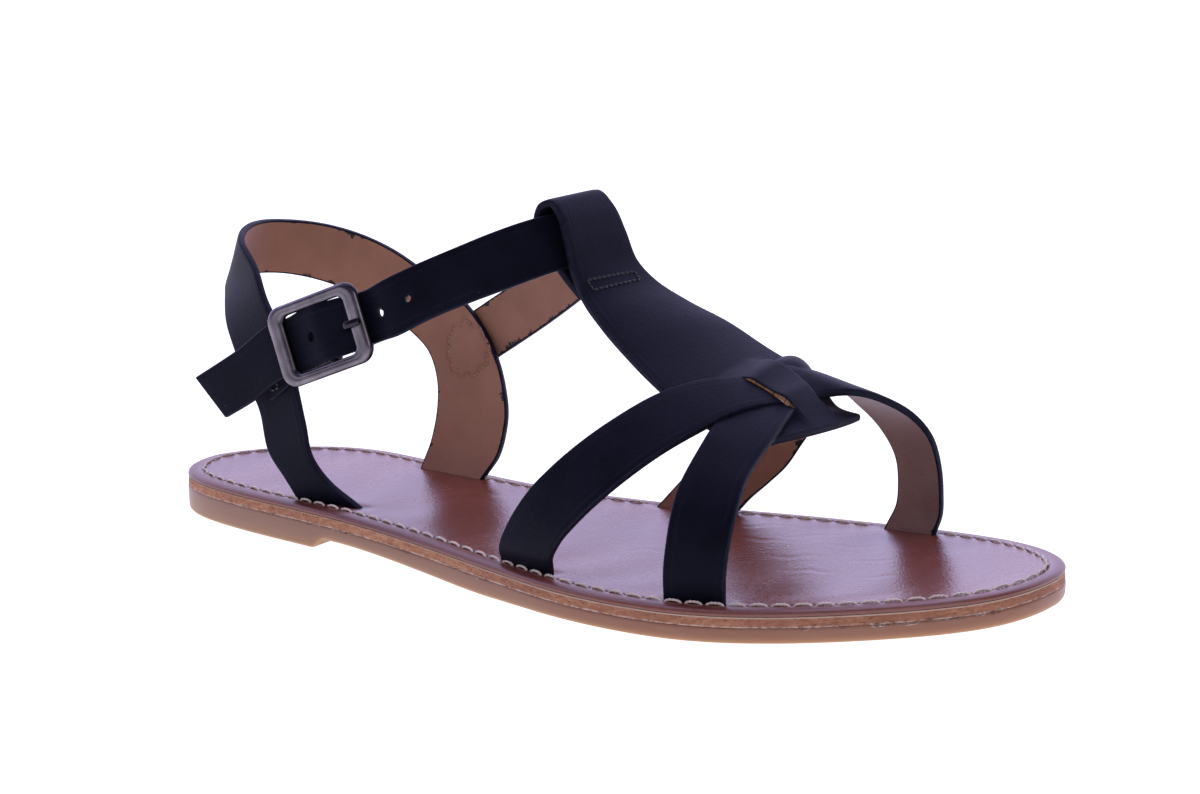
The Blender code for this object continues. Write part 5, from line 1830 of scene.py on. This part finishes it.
top = points[:, 2] > cover_top(points[:, 0]) - 0.0001
gaps = slot_gap(points[:, :2])
channel = 0.00014 * np.exp(-(((lay[:, 1] - STITCH_INSET) / 0.0007) ** 2))
pressed = 0.00030 * np.exp(-((gaps / 0.0011) ** 2))
swell = 0.00010 * np.sin(points[:, 0] * 310.0 + 1.3 * np.sin(points[:, 1] * 95.0))
swell = swell * smoothstep(lay[:, 1], 0.006, 0.014)
folds = crease_depth(points[:, :2]) * smoothstep(lay[:, 1], 0.005, 0.009)
points[top, 2] += (swell - channel - pressed - folds)[top]
# Third mark: closeness of each top point to a strap slot, which the finish turns into painted
# shade.
lay[:, 2] = np.exp(-((gaps / 0.0006) ** 2)) * top
lay[:ring_points, 0] = np.tile(STITCH_RUN, len(cover_rings))
FOOTBED = footbed_finish(TRUE_PITCH)
piece("footbed_dressed", points, faces, (FOOTBED,), "footbed", ("insole",), lay=lay)

# %% Footbed stitches


def stitch_ring():
    loop = inset_loop(STITCH_INSET)
    closed = np.vstack((loop, loop[:1]))
    run = np.concatenate((STITCH_RUN, [STITCH_TOTAL]))
    made = []
    rng = np.random.default_rng(7)
    for n in range(STITCH_COUNT):
        ends = (n + 0.5) * TRUE_PITCH + HALVES * TRUE_PITCH * STITCH_SHARE
        flat = [follow(closed, at, run) for at in ends]
        way = unit(flat[1] - flat[0])
        slant = np.array((-way[1], way[0])) * (0.00016 + rng.uniform(-0.00006, 0.00006))
        spots = [(*spot, cover_top(spot[0])) for spot in (flat[0] + slant, flat[1] - slant)]
        if slot_gap(np.array([*flat, (flat[0] + flat[1]) / 2.0])).min() > 0.0001:
            made.append((*np.array(spots), np.array((0.0, 0.0, 1.0))))
    return made


seam(
    "footbed_seam", stitch_ring(), CREAM, "footbed", 0.00034, 0.00026,
    steps=15, turns=2.4, bow=0.00030,
)
print("stitches round the footbed:", STITCH_COUNT)

# %% [markdown]
# ## Loose cement fibres
# Where the board meets the outsole a few pale fibres stick out of the cement, most of them
# beside the toes. They are about a tenth of a millimetre thick, so each is a five-sided tube.

# %% Cement fibres
WISPS = 34
WISP_RADIUS = 0.00006


def cement_fibre(rng):
    """One fibre along a short stretch of the outsole's upper rim, most often beside the toes."""
    x = LENGTH * (rng.uniform(0.88, 0.985) if rng.random() < 0.6 else rng.uniform(0.1, 0.88))
    i = 1 + nearest(LOOP[1 : SIDE_STATIONS + 1, 0], x)
    stretch = 2 + int(rng.integers(0, 4))
    way = unit(LOOP[i + 1] - LOOP[i - 1])
    line = []
    for spot in LOOP[i : i + stretch + 1]:
        flat = spot + np.array((way[1], -way[0])) * rng.uniform(0.00000, 0.00030)
        line.append((*flat, outsole_top(spot[0]) + rng.uniform(-0.00045, 0.00095)))
    return tube(line, WISP_RADIUS, 5)


wisp_rng = np.random.default_rng(11)
points, faces = gathered(cement_fibre(wisp_rng) for _ in range(WISPS))
piece("cement_wisps", points, faces, (CEMENT,), "board", sharp=80.0)

# %% [markdown]
# ## Floor, light and camera
# The sandal stands on a plain pale floor in a bright white studio. The light comes mostly from
# above and behind, as from a lit backdrop, so the straps' front faces stay dark and their tops
# and the footbed catch a cool sheen. The camera looks down a little from the toe end of the
# buckle side.

# %% Floor
HALF = 6.0
floor_mesh = bpy.data.meshes.new("floor")
corners = [(-HALF, -HALF, 0.0), (HALF, -HALF, 0.0), (HALF, HALF, 0.0), (-HALF, HALF, 0.0)]
floor_mesh.from_pydata(corners, [], [(0, 1, 2, 3)])
FLOOR = Finish(
    "studio_floor", Roughness=0.9, Base_Color=(0.45, 0.45, 0.45, 1.0), Specular_IOR_Level=0.0,
    Emission_Color=(1.0, 0.99, 1.0, 1.0), Emission_Strength=1.0,
)
floor_mesh.materials.append(FLOOR.material)
floor = show("floor", floor_mesh)
floor.location.z = -0.00005
floor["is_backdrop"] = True

# %% Lights
BACKDROP = (1.26, 1.20, 1.90)
ROOM = (0.10, 0.09, 0.13)
CAMERA_TURN = math.radians(33.168)

world = bpy.data.worlds.new("studio")
bpy.context.scene.world = world
world.use_nodes = True
sky = world.node_tree
way = sky.nodes.new("ShaderNodeTexCoord")
facing = sky.nodes.new("ShaderNodeVectorMath")
facing.operation = "DOT_PRODUCT"
facing.inputs[1].default_value = (-math.sin(CAMERA_TURN), math.cos(CAMERA_TURN), 0.14)
share = sky.nodes.new("ShaderNodeMapRange")
share.interpolation_type = "SMOOTHSTEP"
share.inputs["From Min"].default_value = -0.35
share.inputs["From Max"].default_value = 0.65
tint = sky.nodes.new("ShaderNodeMix")
tint.data_type = "RGBA"
tint.inputs[6].default_value = (*ROOM, 1.0)
tint.inputs[7].default_value = (*BACKDROP, 1.0)
sky.links.new(way.outputs["Generated"], facing.inputs[0])
sky.links.new(facing.outputs["Value"], share.inputs["Value"])
sky.links.new(share.outputs["Result"], tint.inputs[0])
sky.links.new(tint.outputs[2], sky.nodes["Background"].inputs["Color"])
sky.nodes["Background"].inputs["Strength"].default_value = 1.0


def softbox(name, spot, target, size, power, colour):
    light = bpy.data.lights.new(name, "AREA")
    light.shape = "RECTANGLE"
    light.size, light.size_y = size
    light.energy = power
    light.color = colour
    obj = show(name, light)
    obj.location = spot
    obj.rotation_euler = (Vector(target) - Vector(spot)).to_track_quat("-Z", "Y").to_euler()


MIDDLE = (0.0, 0.0, 0.04)
softbox("top_light", (-0.10, 0.25, 1.30), MIDDLE, (1.2, 1.0), 0.8, (0.95, 0.92, 1.0))
softbox("front_fill", (0.90, -1.20, 0.70), MIDDLE, (0.8, 0.8), 4.0, (1.0, 0.96, 1.0))

# %% Camera
CAMERA_RISE = math.radians(12.248)
CAMERA_ROLL = math.radians(-0.6)
CAMERA_AWAY = 0.687483
CAMERA_LENS = 83.4
AIM = Vector((0.1250, 0.0, 0.0350))
AIM_SIDEWAYS = 0.00207
AIM_UPWARD = 0.005576

back = Vector((
    math.sin(CAMERA_TURN) * math.cos(CAMERA_RISE),
    -math.cos(CAMERA_TURN) * math.cos(CAMERA_RISE),
    math.sin(CAMERA_RISE),
))
level = Vector((math.cos(CAMERA_TURN), math.sin(CAMERA_TURN), 0.0))
upright = back.cross(level)
right = level * math.cos(CAMERA_ROLL) + upright * math.sin(CAMERA_ROLL)
up = upright * math.cos(CAMERA_ROLL) - level * math.sin(CAMERA_ROLL)
lens = bpy.data.cameras.new("camera")
lens.lens = CAMERA_LENS
lens.sensor_width = 36.0
lens.clip_start = 0.01
camera = show("camera", lens)
spot = AIM + back * CAMERA_AWAY + right * AIM_SIDEWAYS + up * AIM_UPWARD + Vector(PLACE)
camera.matrix_world = Matrix.Translation(spot) @ Matrix((right, up, back)).transposed().to_4x4()
bpy.context.scene.camera = camera
bpy.context.scene.view_settings.view_transform = "Standard"
print("camera at", [round(1000 * value) for value in spot], "mm")

# %% Measure both boxes
shown_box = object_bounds()
boxes = {"cad": cad_box, "visual": shown_box}
{name: [list(end) for end in box] for name, box in boxes.items()}
print("visual box in millimetres:", [round(1000 * side, 1) for side in shown_box[1] - shown_box[0]])
